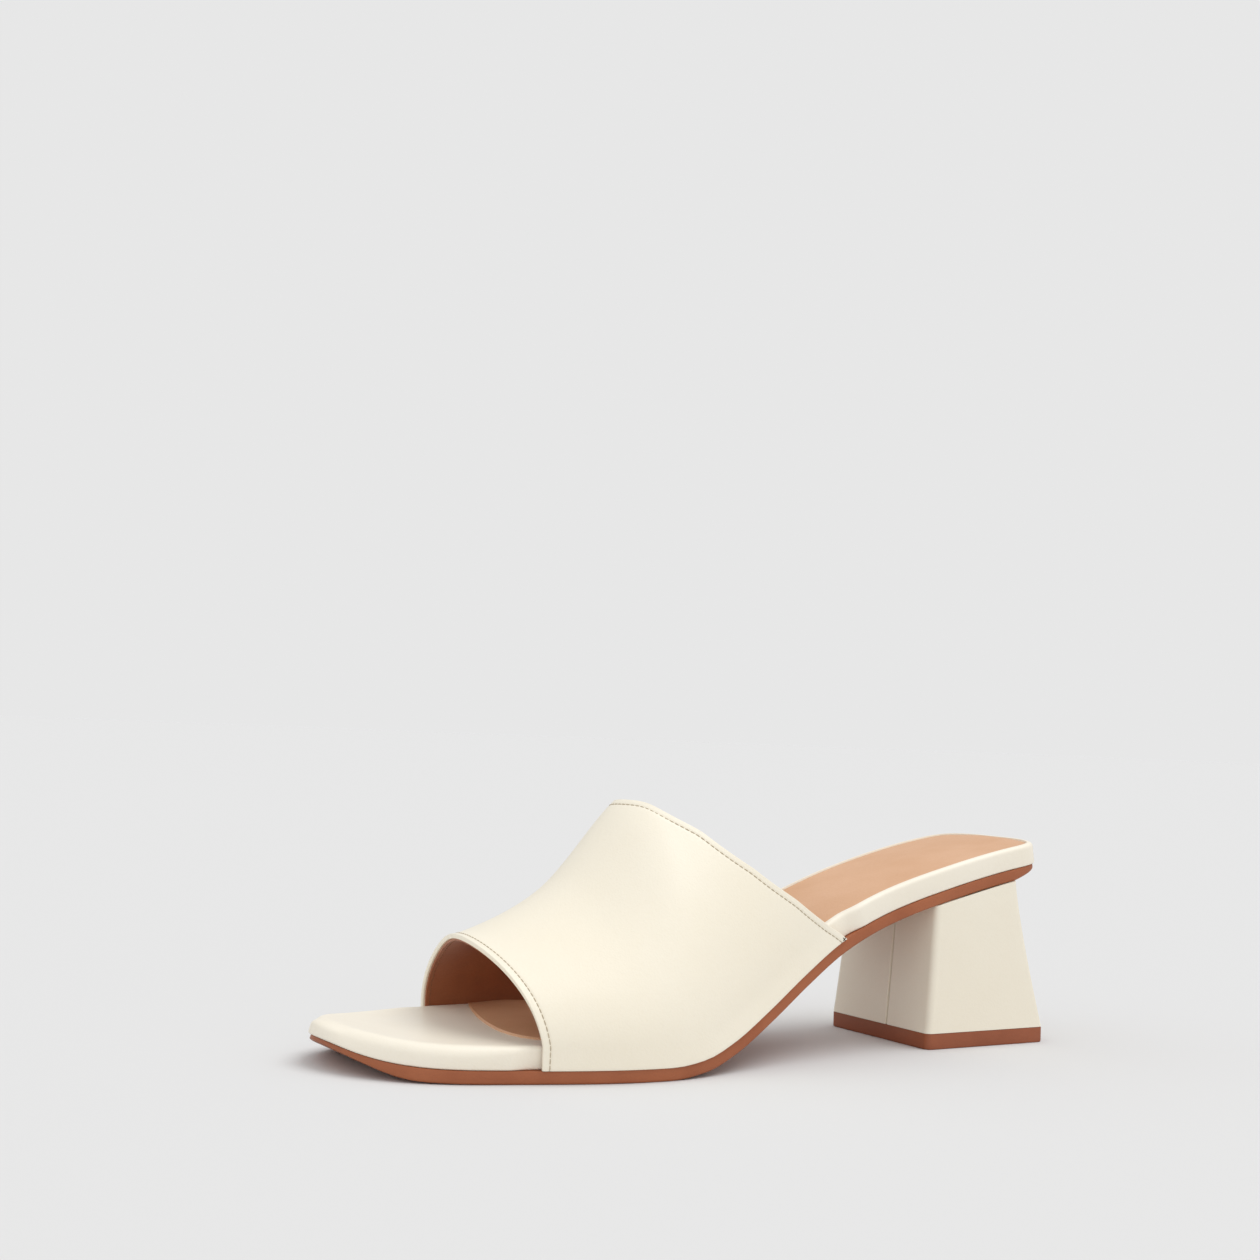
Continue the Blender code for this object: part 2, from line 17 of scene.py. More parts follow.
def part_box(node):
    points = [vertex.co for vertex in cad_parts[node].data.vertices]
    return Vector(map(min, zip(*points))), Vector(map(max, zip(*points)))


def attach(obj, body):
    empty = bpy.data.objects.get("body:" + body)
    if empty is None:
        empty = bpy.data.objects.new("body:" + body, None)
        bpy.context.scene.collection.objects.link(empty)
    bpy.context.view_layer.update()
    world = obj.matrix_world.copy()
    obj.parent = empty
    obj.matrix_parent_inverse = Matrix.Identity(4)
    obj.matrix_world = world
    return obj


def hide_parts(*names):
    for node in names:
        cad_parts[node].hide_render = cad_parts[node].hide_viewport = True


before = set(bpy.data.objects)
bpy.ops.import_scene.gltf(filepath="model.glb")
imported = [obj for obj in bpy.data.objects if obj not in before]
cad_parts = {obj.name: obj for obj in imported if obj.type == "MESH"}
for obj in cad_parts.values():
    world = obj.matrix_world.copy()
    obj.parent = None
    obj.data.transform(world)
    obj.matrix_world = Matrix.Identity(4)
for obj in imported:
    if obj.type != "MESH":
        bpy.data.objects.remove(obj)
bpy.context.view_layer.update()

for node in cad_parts:
    low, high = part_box(node)
    print(node, [round(1000 * (b - a), 1) for a, b in zip(low, high)], "mm")

# %% [markdown]
# ## The camera
# The picture was taken from the shoe's outer side, a little before it, with the lens only about 9 cm over the
# floor. The shoe lies low in the picture because the camera looks slightly upwards. The place, the turn and the
# lens come from lining up the sole, the heel and the band with the picture, so the camera has no shift.

# %% Camera
PICTURE_PIXELS = 1260
LENS_PIXELS = 1807.4
SENSOR = 36.0
CAMERA_PLACE = Vector((0.39563, 0.45194, 0.09265))
CAMERA_YAW = math.radians(31.229)
CAMERA_PITCH = math.radians(-3.315)
CAMERA_ROLL = math.radians(2.258)

forward = Vector((
    -math.sin(CAMERA_YAW) * math.cos(CAMERA_PITCH),
    -math.cos(CAMERA_YAW) * math.cos(CAMERA_PITCH),
    -math.sin(CAMERA_PITCH),
))
level_right = forward.cross(Vector((0, 0, 1))).normalized()
level_up = level_right.cross(forward)
right = math.cos(CAMERA_ROLL) * level_right + math.sin(CAMERA_ROLL) * level_up
up = -math.sin(CAMERA_ROLL) * level_right + math.cos(CAMERA_ROLL) * level_up

camera = bpy.data.objects.new("camera", bpy.data.cameras.new("camera"))
camera.data.sensor_width = SENSOR
camera.data.lens = LENS_PIXELS / PICTURE_PIXELS * SENSOR
camera.data.clip_start = 0.01
camera.data.clip_end = 200.0
camera.matrix_world = Matrix((
    (right.x, up.x, -forward.x, CAMERA_PLACE.x),
    (right.y, up.y, -forward.y, CAMERA_PLACE.y),
    (right.z, up.z, -forward.z, CAMERA_PLACE.z),
    (0, 0, 0, 1),
))
bpy.context.scene.collection.objects.link(camera)
bpy.context.scene.camera = camera
print("lens", round(camera.data.lens, 2), "mm")

# %% [markdown]
# ## Floor and light
# A pale floor runs back until it melts into a background of the same grey. A broad key light stands high on the
# right, so the heel's breast and the hollow under the toes fall into a soft shade, and the shoe throws its
# shadow to the left. Two wider lights and an even dome fill it. Suns are used because they light the whole
# floor alike, so nothing but the shoe's own shadow shows on it.

# %% Floor
BACKGROUND_GREY = 0.80
FLOOR_GREY = 0.709
FLOOR_SIZE = 60.0

floor_mesh = bmesh.new()
bmesh.ops.create_grid(floor_mesh, x_segments=1, y_segments=1, size=0.5 * FLOOR_SIZE)
floor_data = bpy.data.meshes.new("studio_floor")
floor_mesh.to_mesh(floor_data)
floor_mesh.free()
floor = bpy.data.objects.new("studio_floor", floor_data)
bpy.context.scene.collection.objects.link(floor)
floor_paint = bpy.data.materials.new("studio_floor_paint")
floor_paint.use_nodes = True
floor_shader = floor_paint.node_tree.nodes["Principled BSDF"]
floor_shader.inputs["Base Color"].default_value = (FLOOR_GREY, FLOOR_GREY, FLOOR_GREY, 1)
floor_shader.inputs["Roughness"].default_value = 0.9
floor_shader.inputs["Specular IOR Level"].default_value = 0.0
floor_data.materials.append(floor_paint)

# %% Light
Sun = namedtuple("Sun", "name right back up strength spread")
SUNS = [
    Sun("key_box", 0.45, 0.05, 1.00, 1.12, 40),
    Sun("left_box", -0.70, -0.10, 0.80, 0.42, 90),
    Sun("front_box", 0.45, -1.00, 0.50, 0.50, 80),
]
DOME_LIGHT = 0.64

dome = bpy.data.worlds.new("studio_dome")
dome.use_nodes = True
dome_tree = dome.node_tree
backdrop = dome_tree.nodes["Background"]
backdrop.inputs["Color"].default_value = (BACKGROUND_GREY,) * 3 + (1,)
fill = dome_tree.nodes.new("ShaderNodeBackground")
fill.inputs["Color"].default_value = (DOME_LIGHT,) * 3 + (1,)
seen = dome_tree.nodes.new("ShaderNodeLightPath")
either = dome_tree.nodes.new("ShaderNodeMixShader")
dome_tree.links.new(seen.outputs["Is Camera Ray"], either.inputs[0])
dome_tree.links.new(fill.outputs[0], either.inputs[1])
dome_tree.links.new(backdrop.outputs[0], either.inputs[2])
dome_tree.links.new(either.outputs[0], dome_tree.nodes["World Output"].inputs["Surface"])
bpy.context.scene.world = dome
away = Vector((forward.x, forward.y, 0)).normalized()
for sun in SUNS:
    lamp = bpy.data.lights.new(sun.name, "SUN")
    lamp.energy = sun.strength
    lamp.angle = math.radians(sun.spread)
    lamp_object = bpy.data.objects.new(sun.name, lamp)
    toward = sun.right * level_right + sun.back * away + sun.up * Vector((0, 0, 1))
    lamp_object.rotation_euler = toward.to_track_quat("Z", "Y").to_euler()
    bpy.context.scene.collection.objects.link(lamp_object)
bpy.context.scene.view_settings.view_transform = "Standard"
print(len(SUNS), "soft lights")

# %% [markdown]
# ## The last
# A shoe is built on a last, the wooden foot that gives it its form. Here the last is a few curves: the outline
# of the sole seen from above, the underside seen from the side, and the crown of the band over the foot. They
# repeat the solids' own sizes, in metres, from the back of the sole to the toe.

# %% Sizes of the last
LENGTH = 0.238
BALL_WIDTH = 0.081
HEEL_RISE = 0.0537
TOE_SPRING = 0.0047
INSTEP_HEIGHT = 0.0640
TOE_OPENING_HEIGHT = 0.0250
OUTSOLE_THICK = 0.0033
OUTSOLE_SKIVED = 0.0009
OUTSOLE_BACK_SKIVED = 0.0004
SKIVE_LENGTH = 0.018
BACK_SKIVE_LENGTH = 0.0115
BACK_SKIVED_FLAT = 0.0035
PLATFORM_THICK = 0.0062
PLATFORM_INSET = 0.0002
PLATFORM_ROUND = 0.0014
PLATFORM_TOE_ROUND = 0.0032
PLATFORM_TOE_THINNED = 0.0006
RIM_RISE = 0.0006
RIM_CREST = 0.0003
RIM_SLOPE = 0.0004
RECESS_DEPTH = 0.0009
TOE_ROUND_START = 0.050
TOE_ROUND_LENGTH = 0.024
THINNING_LENGTH = 0.012
SOCK_THICK = 0.0008
VAMP_WALL = 0.0020
VAMP_OVERHANG = 0.0006
VAMP_FOOT_SWEEP = 0.0038
NECK_LENGTH = 0.007
NECK_REACH = 0.0015
HEEL_TIP_THICK = 0.0048
HEEL_BACK_INSET = 0.0150
HEEL_TOP_LENGTH = 0.0335
HEEL_TOP_SIDE_INSET = 0.0016
HEEL_BACK_FLARE = 0.0108
HEEL_FRONT_FLARE = 0.0040
HEEL_SIDE_FLARE = 0.0018
HEEL_FLARE_CURVE = 1.3
HEEL_SHIFT = 0.0021
GAP = 0.0003

Plan = namedtuple("Plan", "along across")
Rise = namedtuple("Rise", "along height")
Edge = namedtuple("Edge", "around rear front")
Crown = namedtuple("Crown", "along rise ridge")
Front = namedtuple("Front", "sweep power")
OUTLINE = [
    Plan(0.000, -0.010), Plan(0.004, 0.180), Plan(0.019, 0.262), Plan(0.062, 0.290), Plan(0.120, 0.294),
    Plan(0.189, 0.298), Plan(0.315, 0.308), Plan(0.420, 0.362), Plan(0.525, 0.440), Plan(0.630, 0.505),
    Plan(0.723, 0.482), Plan(0.820, 0.397), Plan(0.905, 0.303), Plan(0.969, 0.152), Plan(0.993, 0.038),
    Plan(1.001, -0.086), Plan(0.998, -0.208), Plan(0.976, -0.325), Plan(0.905, -0.455), Plan(0.821, -0.515),
    Plan(0.723, -0.527), Plan(0.630, -0.466), Plan(0.525, -0.350), Plan(0.420, -0.262), Plan(0.315, -0.243),
    Plan(0.189, -0.280), Plan(0.120, -0.297), Plan(0.062, -0.303), Plan(0.019, -0.278), Plan(0.004, -0.198),
]
SHANK = [
    Rise(0.000, 1.000), Rise(0.084, 0.935), Rise(0.189, 0.828), Rise(0.273, 0.720), Rise(0.357, 0.570),
    Rise(0.420, 0.415), Rise(0.483, 0.248), Rise(0.546, 0.103), Rise(0.600, 0.024), Rise(0.650, 0.000),
    Rise(0.810, 0.000),
]
SPRING = [
    Rise(0.870, 0.020), Rise(0.910, 0.070), Rise(0.940, 0.190), Rise(0.960, 0.350), Rise(0.980, 0.610),
    Rise(1.000, 1.000),
]
VAMP_EDGES = [
    Edge(0.00, 0.366, 0.802), Edge(0.12, 0.4550, 0.810), Edge(0.25, 0.5375, 0.821), Edge(0.38, 0.5955, 0.831),
    Edge(0.50, 0.6155, 0.832), Edge(0.62, 0.6005, 0.822), Edge(0.75, 0.5455, 0.810), Edge(0.88, 0.4625, 0.804),
    Edge(1.00, 0.372, 0.801),
]
VAMP_CROWN = [
    Crown(0.36, 1.08, -0.020), Crown(0.46, 1.15, -0.026), Crown(0.55, 1.14, -0.031), Crown(0.60, 1.07, -0.034),
    Crown(0.63, 0.94, -0.035), Crown(0.66, 0.69, -0.038), Crown(0.70, 0.39, -0.041), Crown(0.74, 0.21, -0.044),
    Crown(0.78, 0.09, -0.046), Crown(0.82, 0.01, -0.048), Crown(0.85, 0.00, -0.050),
]
BACK_SKIVE_CURVE = 0.6
RIM_FULL_TO = 0.50
RIM_GONE_BY = 0.72
TENT_AT_INSTEP = 0.32
TENT_AT_TOE = 0.08
TENT_FROM = 0.62
TENT_TO = 0.84
SOCK_APEX = Plan(0.799, 0.110)
SOCK_FRONT = {1: Front(0.126, 3.0), -1: Front(0.057, 1.5)}


# %% Curves of the last
CURVE_STEPS = 24
CURVE_WRAP = 4
SLOPE_REACH = 0.0015


def smooth(xs, ys, x):
    """Cubic curve through the points that never overshoots them, so level stretches stay level."""
    xs = np.asarray(xs, float)
    ys = np.asarray(ys, float)
    step = np.diff(xs)
    slope = np.diff(ys) / step
    tangent = np.zeros(len(xs))
    for i in range(1, len(xs) - 1):
        if slope[i - 1] * slope[i] > 0.0:
            tangent[i] = 2.0 * slope[i - 1] * slope[i] / (slope[i - 1] + slope[i])
    tangent[0] = slope[0]
    tangent[-1] = slope[-1]
    x = np.clip(x, xs[0], xs[-1])
    i = np.clip(np.searchsorted(xs, x, side="right") - 1, 0, len(step) - 1)
    t = (x - xs[i]) / step[i]
    rest = 1.0 - t
    return (
        ys[i] * rest * rest * (1.0 + 2.0 * t)
        + ys[i + 1] * t * t * (3.0 - 2.0 * t)
        + tangent[i] * step[i] * t * rest * rest
        - tangent[i + 1] * step[i] * t * t * rest
    )


def ease(t):
    """Smooth step from 0 to 1."""
    t = np.clip(t, 0.0, 1.0)
    return t * t * (3.0 - 2.0 * t)


def evenly_bent(xs, ys, x):
    """Cubic curve through the points whose bend changes without a step."""
    xs = np.asarray(xs, float)
    ys = np.asarray(ys, float)
    step = np.diff(xs)
    slope = np.diff(ys) / step
    rows = np.diag(2.0 * (step[:-1] + step[1:])) + np.diag(step[1:-1], 1) + np.diag(step[1:-1], -1)
    bends = np.zeros(len(xs))
    bends[1:-1] = np.linalg.solve(rows, 6.0 * np.diff(slope))
    x = np.clip(x, xs[0], xs[-1])
    i = np.clip(np.searchsorted(xs, x, side="right") - 1, 0, len(step) - 1)
    t = (x - xs[i]) / step[i]
    rest = 1.0 - t
    return (
        ys[i] * rest + ys[i + 1] * t
        + step[i] ** 2 / 6.0 * ((rest ** 3 - rest) * bends[i] + (t ** 3 - t) * bends[i + 1])
    )


def closed_curve(points):
    """Evenly spaced points on a closed curve through the given ones, whose bend changes without a step."""
    wrapped = np.array(points[-CURVE_WRAP:] + points + points[:CURVE_WRAP + 1])
    lengths = np.concatenate([[0.0], np.cumsum(np.linalg.norm(np.diff(wrapped, axis=0), axis=1))])
    start, end = lengths[CURVE_WRAP], lengths[CURVE_WRAP + len(points)]
    places = np.linspace(start, end, CURVE_STEPS * len(points), endpoint=False)
    return np.column_stack([evenly_bent(lengths, wrapped[:, k], places) for k in (0, 1)])


OUTLINE_CURVE = closed_curve([np.array((p.along * LENGTH, p.across * BALL_WIDTH)) for p in OUTLINE])
OUTLINE_CURVE = np.roll(OUTLINE_CURVE, -int(np.argmin(OUTLINE_CURVE[:, 0])), axis=0)
TIP_INDEX = int(np.argmax(OUTLINE_CURVE[:, 0]))
OUTER_SIDE = OUTLINE_CURVE[: TIP_INDEX + 1]
INNER_SIDE = np.vstack([OUTLINE_CURVE[TIP_INDEX:], OUTLINE_CURVE[:1]])[::-1]
SOLE_BACK = OUTER_SIDE[0, 0]
SOLE_TIP = OUTER_SIDE[-1, 0]


def outer_edge(x):
    return np.interp(x, OUTER_SIDE[:, 0], OUTER_SIDE[:, 1])


def inner_edge(x):
    return np.interp(x, INNER_SIDE[:, 0], INNER_SIDE[:, 1])


UNDER_XS = np.linspace(SOLE_BACK, LENGTH, 600)
UNDER_ROWS = [(p.along, p.height * HEEL_RISE) for p in SHANK]
UNDER_ROWS += [(p.along, p.height * TOE_SPRING) for p in SPRING]
UNDER_ZS = smooth([r[0] for r in UNDER_ROWS], [r[1] for r in UNDER_ROWS], UNDER_XS / LENGTH)


def underside(x):
    """Height of the sole's underside over the floor."""
    return np.interp(x, UNDER_XS, UNDER_ZS)


def lifted(x, height):
    """Place (X, Z) of the point at a height square over the underside's point at x."""
    slope = (underside(x + SLOPE_REACH) - underside(x - SLOPE_REACH)) / (2.0 * SLOPE_REACH)
    size = np.sqrt(1.0 + slope * slope)
    return x - height * slope / size, underside(x) + height / size


def skive(x):
    """How far the outsole's underside is cut up towards the heel's back and the toe tip."""
    grown = np.clip((x - SOLE_BACK - BACK_SKIVED_FLAT) / BACK_SKIVE_LENGTH, 0.0, 1.0) ** BACK_SKIVE_CURVE
    from_back = (OUTSOLE_THICK - OUTSOLE_BACK_SKIVED) * (1.0 - grown)
    to_tip = (OUTSOLE_THICK - OUTSOLE_SKIVED) * ease((x - SOLE_TIP + SKIVE_LENGTH) / SKIVE_LENGTH)
    return np.maximum(from_back, to_tip)


def end_share(x):
    """1 at the heel's back and at the toe tip, 0 between them."""
    from_back = 1.0 - ease((x - SOLE_BACK) / SKIVE_LENGTH)
    return np.maximum(from_back, ease((x - SOLE_TIP + SKIVE_LENGTH) / SKIVE_LENGTH))


print("sole", round(1000 * (SOLE_TIP - SOLE_BACK), 1), "mm long")

# %% [markdown]
# ## Finishes
# Smooth leather isn't flat paint. Its skin has cells well under a millimetre wide, with finer pores between
# them, and its colour and gloss drift a little over a few centimetres. Both effects serve every leather on the
# shoe, so each is one shader group, placed in a material with that leather's values. The lining's colour and
# the colours of the band's stitch lines are darker than their own, as painted shade inside the band and in the
# stitch grooves.

# %% Shader groups
def shader_group(name, inputs, outputs):
    """Empty group with named sockets; inputs are (name, socket type, default)."""
    group = bpy.data.node_groups.new(name, "ShaderNodeTree")
    for label, kind, value in inputs:
        socket = group.interface.new_socket(label, in_out="INPUT", socket_type=kind)
        if value is not None:
            socket.default_value = value
    for label, kind in outputs:
        group.interface.new_socket(label, in_out="OUTPUT", socket_type=kind)
    return group, group.nodes.new("NodeGroupInput"), group.nodes.new("NodeGroupOutput")


def math_node(tree, operation, first, second):
    """Math node; each term is a number or an output socket."""
    node = tree.nodes.new("ShaderNodeMath")
    node.operation = operation
    for socket, term in zip(node.inputs, (first, second)):
        if isinstance(term, (int, float)):
            socket.default_value = term
        else:
            tree.links.new(term, socket)
    return node.outputs[0]


def noise(tree, vector, scale, detail, roughness=0.5):
    node = tree.nodes.new("ShaderNodeTexNoise")
    node.inputs["Detail"].default_value = detail
    node.inputs["Roughness"].default_value = roughness
    tree.links.new(vector, node.inputs["Vector"])
    if isinstance(scale, (int, float)):
        node.inputs["Scale"].default_value = scale
    else:
        tree.links.new(scale, node.inputs["Scale"])
    return node.outputs["Fac"]


def make_grain():
    """Skin of leather: rounded cells with pores between them, over soft broad unevenness."""
    tree, given, out = shader_group(
        "leather_grain",
        [("Vector", "NodeSocketVector", None), ("Cells", "NodeSocketFloat", 1500.0)],
        [("Height", "NodeSocketFloat"), ("Pores", "NodeSocketFloat")],
    )
    cells = tree.nodes.new("ShaderNodeTexVoronoi")
    cells.feature = "SMOOTH_F1"
    cells.inputs["Smoothness"].default_value = 0.6
    warp = tree.nodes.new("ShaderNodeVectorMath")
    warp.operation = "MULTIPLY_ADD"
    drift = tree.nodes.new("ShaderNodeTexNoise")
    drift.inputs["Scale"].default_value = 260.0
    tree.links.new(given.outputs["Vector"], drift.inputs["Vector"])
    tree.links.new(drift.outputs["Color"], warp.inputs[0])
    warp.inputs[1].default_value = (0.0012, 0.0012, 0.0012)
    tree.links.new(given.outputs["Vector"], warp.inputs[2])
    tree.links.new(warp.outputs[0], cells.inputs["Vector"])
    tree.links.new(given.outputs["Cells"], cells.inputs["Scale"])
    fine_scale = math_node(tree, "MULTIPLY", given.outputs["Cells"], 2.7)
    fine = noise(tree, given.outputs["Vector"], fine_scale, 3.0)
    broad_scale = math_node(tree, "MULTIPLY", given.outputs["Cells"], 0.09)
    broad = noise(tree, given.outputs["Vector"], broad_scale, 2.0)
    domes = math_node(tree, "SUBTRACT", 1.0, cells.outputs["Distance"])
    height = math_node(tree, "MULTIPLY_ADD", domes, 0.45)
    height.node.inputs[2].default_value = 0.0
    with_fine = math_node(tree, "MULTIPLY_ADD", fine, 0.35)
    tree.links.new(height, with_fine.node.inputs[2])
    with_broad = math_node(tree, "MULTIPLY_ADD", broad, 1.1)
    tree.links.new(with_fine, with_broad.node.inputs[2])
    tree.links.new(with_broad, out.inputs["Height"])
    tree.links.new(cells.outputs["Distance"], out.inputs["Pores"])
    return tree


def make_drift():
    """Slow change of tone and gloss over the skin."""
    tree, given, out = shader_group(
        "tone_drift",
        [
            ("Vector", "NodeSocketVector", None),
            ("Light Tone", "NodeSocketColor", (0.8, 0.8, 0.8, 1.0)),
            ("Deep Tone", "NodeSocketColor", (0.7, 0.7, 0.7, 1.0)),
            ("Patches", "NodeSocketFloat", 25.0),
            ("Gloss", "NodeSocketFloat", 0.4),
            ("Gloss Change", "NodeSocketFloat", 0.1),
            ("Pores", "NodeSocketFloat", 0.0),
        ],
        [("Color", "NodeSocketColor"), ("Roughness", "NodeSocketFloat")],
    )
    patches = noise(tree, given.outputs["Vector"], given.outputs["Patches"], 3.0)
    spread = tree.nodes.new("ShaderNodeMapRange")
    spread.inputs["From Min"].default_value = 0.32
    spread.inputs["From Max"].default_value = 0.68
    tree.links.new(patches, spread.inputs["Value"])
    tones = tree.nodes.new("ShaderNodeMix")
    tones.data_type = "RGBA"
    tree.links.new(spread.outputs[0], tones.inputs["Factor"])
    tree.links.new(given.outputs["Light Tone"], tones.inputs["A"])
    tree.links.new(given.outputs["Deep Tone"], tones.inputs["B"])
    pored = tree.nodes.new("ShaderNodeMix")
    pored.data_type = "RGBA"
    pored.blend_type = "MULTIPLY"
    shade = math_node(tree, "MULTIPLY", given.outputs["Pores"], 0.12)
    tree.links.new(shade, pored.inputs["Factor"])
    tree.links.new(tones.outputs["Result"], pored.inputs["A"])
    tree.links.new(given.outputs["Deep Tone"], pored.inputs["B"])
    tree.links.new(pored.outputs["Result"], out.inputs["Color"])
    swing = math_node(tree, "MULTIPLY", given.outputs["Gloss Change"], spread.outputs[0])
    rough = math_node(tree, "ADD", given.outputs["Gloss"], swing)
    tree.links.new(rough, out.inputs["Roughness"])
    return tree


GRAIN = make_grain()
DRIFT = make_drift()
print("groups:", GRAIN.name, "and", DRIFT.name)

# %% Finishes of the shoe's own materials
Finish = namedtuple("Finish", "name light deep patches cells gloss gloss_change relief coat sheen")
FINISHES = [
    Finish("cream_upper_leather", (246, 239, 222), (244, 236, 217), 22, 1700, 0.40, 0.08, 0.00006, 0.10, 0.0),
    Finish("cream_platform_leather", (246, 239, 224), (243, 235, 218), 30, 1700, 0.42, 0.08, 0.00006, 0.10, 0.0),
    Finish("cream_heel_leather", (243, 236, 219), (240, 232, 214), 26, 1700, 0.42, 0.08, 0.00005, 0.10, 0.0),
    Finish("tan_sock_leather", (222, 176, 138), (212, 164, 124), 36, 1500, 0.46, 0.10, 0.00006, 0.05, 0.0),
    # painted shade: the lining is the sock's tan leather, coloured much darker for the shade inside the band
    Finish("tan_lining_leather_painted_shade", (172, 104, 62), (156, 88, 50), 40, 1300, 0.55, 0.10, 0.00008, 0.0, 0.2),
    Finish("brown_sole_edge", (168, 96, 56), (156, 86, 48), 60, 2200, 0.50, 0.10, 0.00004, 0.05, 0.0),
    Finish("brown_heel_tip", (154, 84, 50), (142, 76, 44), 60, 2600, 0.52, 0.10, 0.00004, 0.0, 0.0),
    # painted shade: the face's thread is cream, coloured beige-grey for the shade in its stitch groove
    Finish("cream_thread_painted_groove_shade", (196, 182, 158), (176, 160, 134), 900, 5000, 0.55, 0.10, 0.00005, 0.0, 0.0),
    # painted shade: the same thread as on the face, coloured dark tan for the shade inside the band
    Finish("tan_lining_thread_painted_shade", (150, 100, 66), (132, 86, 56), 900, 5000, 0.60, 0.10, 0.00005, 0.0, 0.0),
    # a dark mark at the rear edge's foot, where the band meets the outsole
    Finish("dark_mark_thread", (70, 52, 42), (58, 42, 34), 900, 5000, 0.60, 0.10, 0.00005, 0.0, 0.0),
]


def linear(colour):
    """Scene-linear colour from display values of 0 to 255."""
    return tuple(((c / 255 + 0.055) / 1.055) ** 2.4 for c in colour) + (1.0,)


def make_finish(finish):
    surface = bpy.data.materials.new(finish.name)
    surface.use_nodes = True
    tree = surface.node_tree
    shader = tree.nodes["Principled BSDF"]
    place = tree.nodes.new("ShaderNodeTexCoord")
    grain = tree.nodes.new("ShaderNodeGroup")
    grain.node_tree = GRAIN
    grain.inputs["Cells"].default_value = finish.cells
    drift = tree.nodes.new("ShaderNodeGroup")
    drift.node_tree = DRIFT
    drift.inputs["Light Tone"].default_value = linear(finish.light)
    drift.inputs["Deep Tone"].default_value = linear(finish.deep)
    drift.inputs["Patches"].default_value = finish.patches
    drift.inputs["Gloss"].default_value = finish.gloss
    drift.inputs["Gloss Change"].default_value = finish.gloss_change
    bump = tree.nodes.new("ShaderNodeBump")
    bump.inputs["Strength"].default_value = 1.0
    bump.inputs["Distance"].default_value = finish.relief
    for group in (grain, drift):
        tree.links.new(place.outputs["Object"], group.inputs["Vector"])
    tree.links.new(grain.outputs["Pores"], drift.inputs["Pores"])
    tree.links.new(grain.outputs["Height"], bump.inputs["Height"])
    tree.links.new(bump.outputs["Normal"], shader.inputs["Normal"])
    tree.links.new(drift.outputs["Color"], shader.inputs["Base Color"])
    tree.links.new(drift.outputs["Roughness"], shader.inputs["Roughness"])
    shader.inputs["Coat Weight"].default_value = finish.coat
    shader.inputs["Coat Roughness"].default_value = 0.25
    shader.inputs["Sheen Weight"].default_value = finish.sheen
    return surface


SURFACES = {finish.name: make_finish(finish) for finish in FINISHES}
print(len(SURFACES), "finishes:", ", ".join(SURFACES))

# %% [markdown]
# ## Putting a piece in its place
# All the curves above are measured from the back of the sole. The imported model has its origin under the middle
# of the heel tip, so every finished mesh is moved by the same step before it becomes an object. The object
# itself stays at the origin, unturned.

# %% From a bmesh to a piece
SMOOTH_LIMIT = math.radians(38)


def heel_limits(share):
    """Back, front, middle and half-width of the heel at a share of its height, from its tip to the seat."""
    below = 1.0 - share
    back = SOLE_BACK + HEEL_BACK_INSET
    front = back + HEEL_TOP_LENGTH
    seat = 0.5 * (back + front)
    half = 0.5 * float(outer_edge(seat) - inner_edge(seat)) - HEEL_TOP_SIDE_INSET
    middle = 0.5 * float(outer_edge(seat) + inner_edge(seat)) + HEEL_SHIFT
    return (
        back - HEEL_BACK_FLARE * below ** HEEL_FLARE_CURVE,
        front + HEEL_FRONT_FLARE * below,
        middle,
        half + HEEL_SIDE_FLARE * below,
    )


TIP_BACK, TIP_FRONT, TIP_MIDDLE, _ = heel_limits(0.0)
TO_FRAME = Vector((-0.5 * (TIP_BACK + TIP_FRONT), -TIP_MIDDLE, 0.0))


def make_piece(name, shape, finish, stands_for=None):
    """Object of a finished bmesh, in the frame's place, riding on the shoe."""
    bmesh.ops.translate(shape, verts=shape.verts, vec=TO_FRAME)
    mesh = bpy.data.meshes.new(name)
    shape.to_mesh(mesh)
    shape.free()
    mesh.materials.append(SURFACES[finish])
    mesh.shade_smooth()
    mesh.set_sharp_from_angle(angle=SMOOTH_LIMIT)
    piece = bpy.data.objects.new(name, mesh)
    bpy.context.scene.collection.objects.link(piece)
    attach(piece, "root")
    if stands_for:
        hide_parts(stands_for)
    print(name, len(mesh.polygons), "faces")
    return piece


# %% [markdown]
# ## Sole, platform and sock lining
# The real plates are cut flat, skived and then bent over the last. They are made here in the same order: a
# circle is laid on the plate's outline, extruded to its thickness and bevelled round its rim. Cuts across it
# give it enough points to bend, and then each point is set square over the underside's curve.

# %% A flat plate bent over the last
PLATE_CUTS = 110
PLATE_EDGE_ANGLE = 1.0
SAME_PLACE = 1e-6


def flat_plate(ring, low, high):
    """Flat plate of the ring's outline between two heights."""
    shape = bmesh.new()
    rim = bmesh.ops.create_circle(shape, cap_ends=True, segments=len(ring))["verts"]
    for vert, (x, y) in zip(rim, ring):
        vert.co = (x, y, low)
    top = bmesh.ops.extrude_face_region(shape, geom=shape.faces[:])["geom"]
    top_verts = [item for item in top if isinstance(item, bmesh.types.BMVert)]
    bmesh.ops.translate(shape, verts=top_verts, vec=(0, 0, high - low))
    bmesh.ops.recalc_face_normals(shape, faces=shape.faces)
    return shape


def round_rim(shape, height, radius, segments):
    """Bevels the plate's outline at a height."""
    rim = [
        edge for edge in shape.edges
        if all(abs(vert.co.z - height) < SAME_PLACE for vert in edge.verts)
        and edge.calc_face_angle(0.0) > PLATE_EDGE_ANGLE
    ]
    bmesh.ops.bevel(
        shape, geom=rim, offset=radius, offset_type="OFFSET", segments=segments,
        profile=0.5, affect="EDGES", material=-1, clamp_overlap=True,
    )


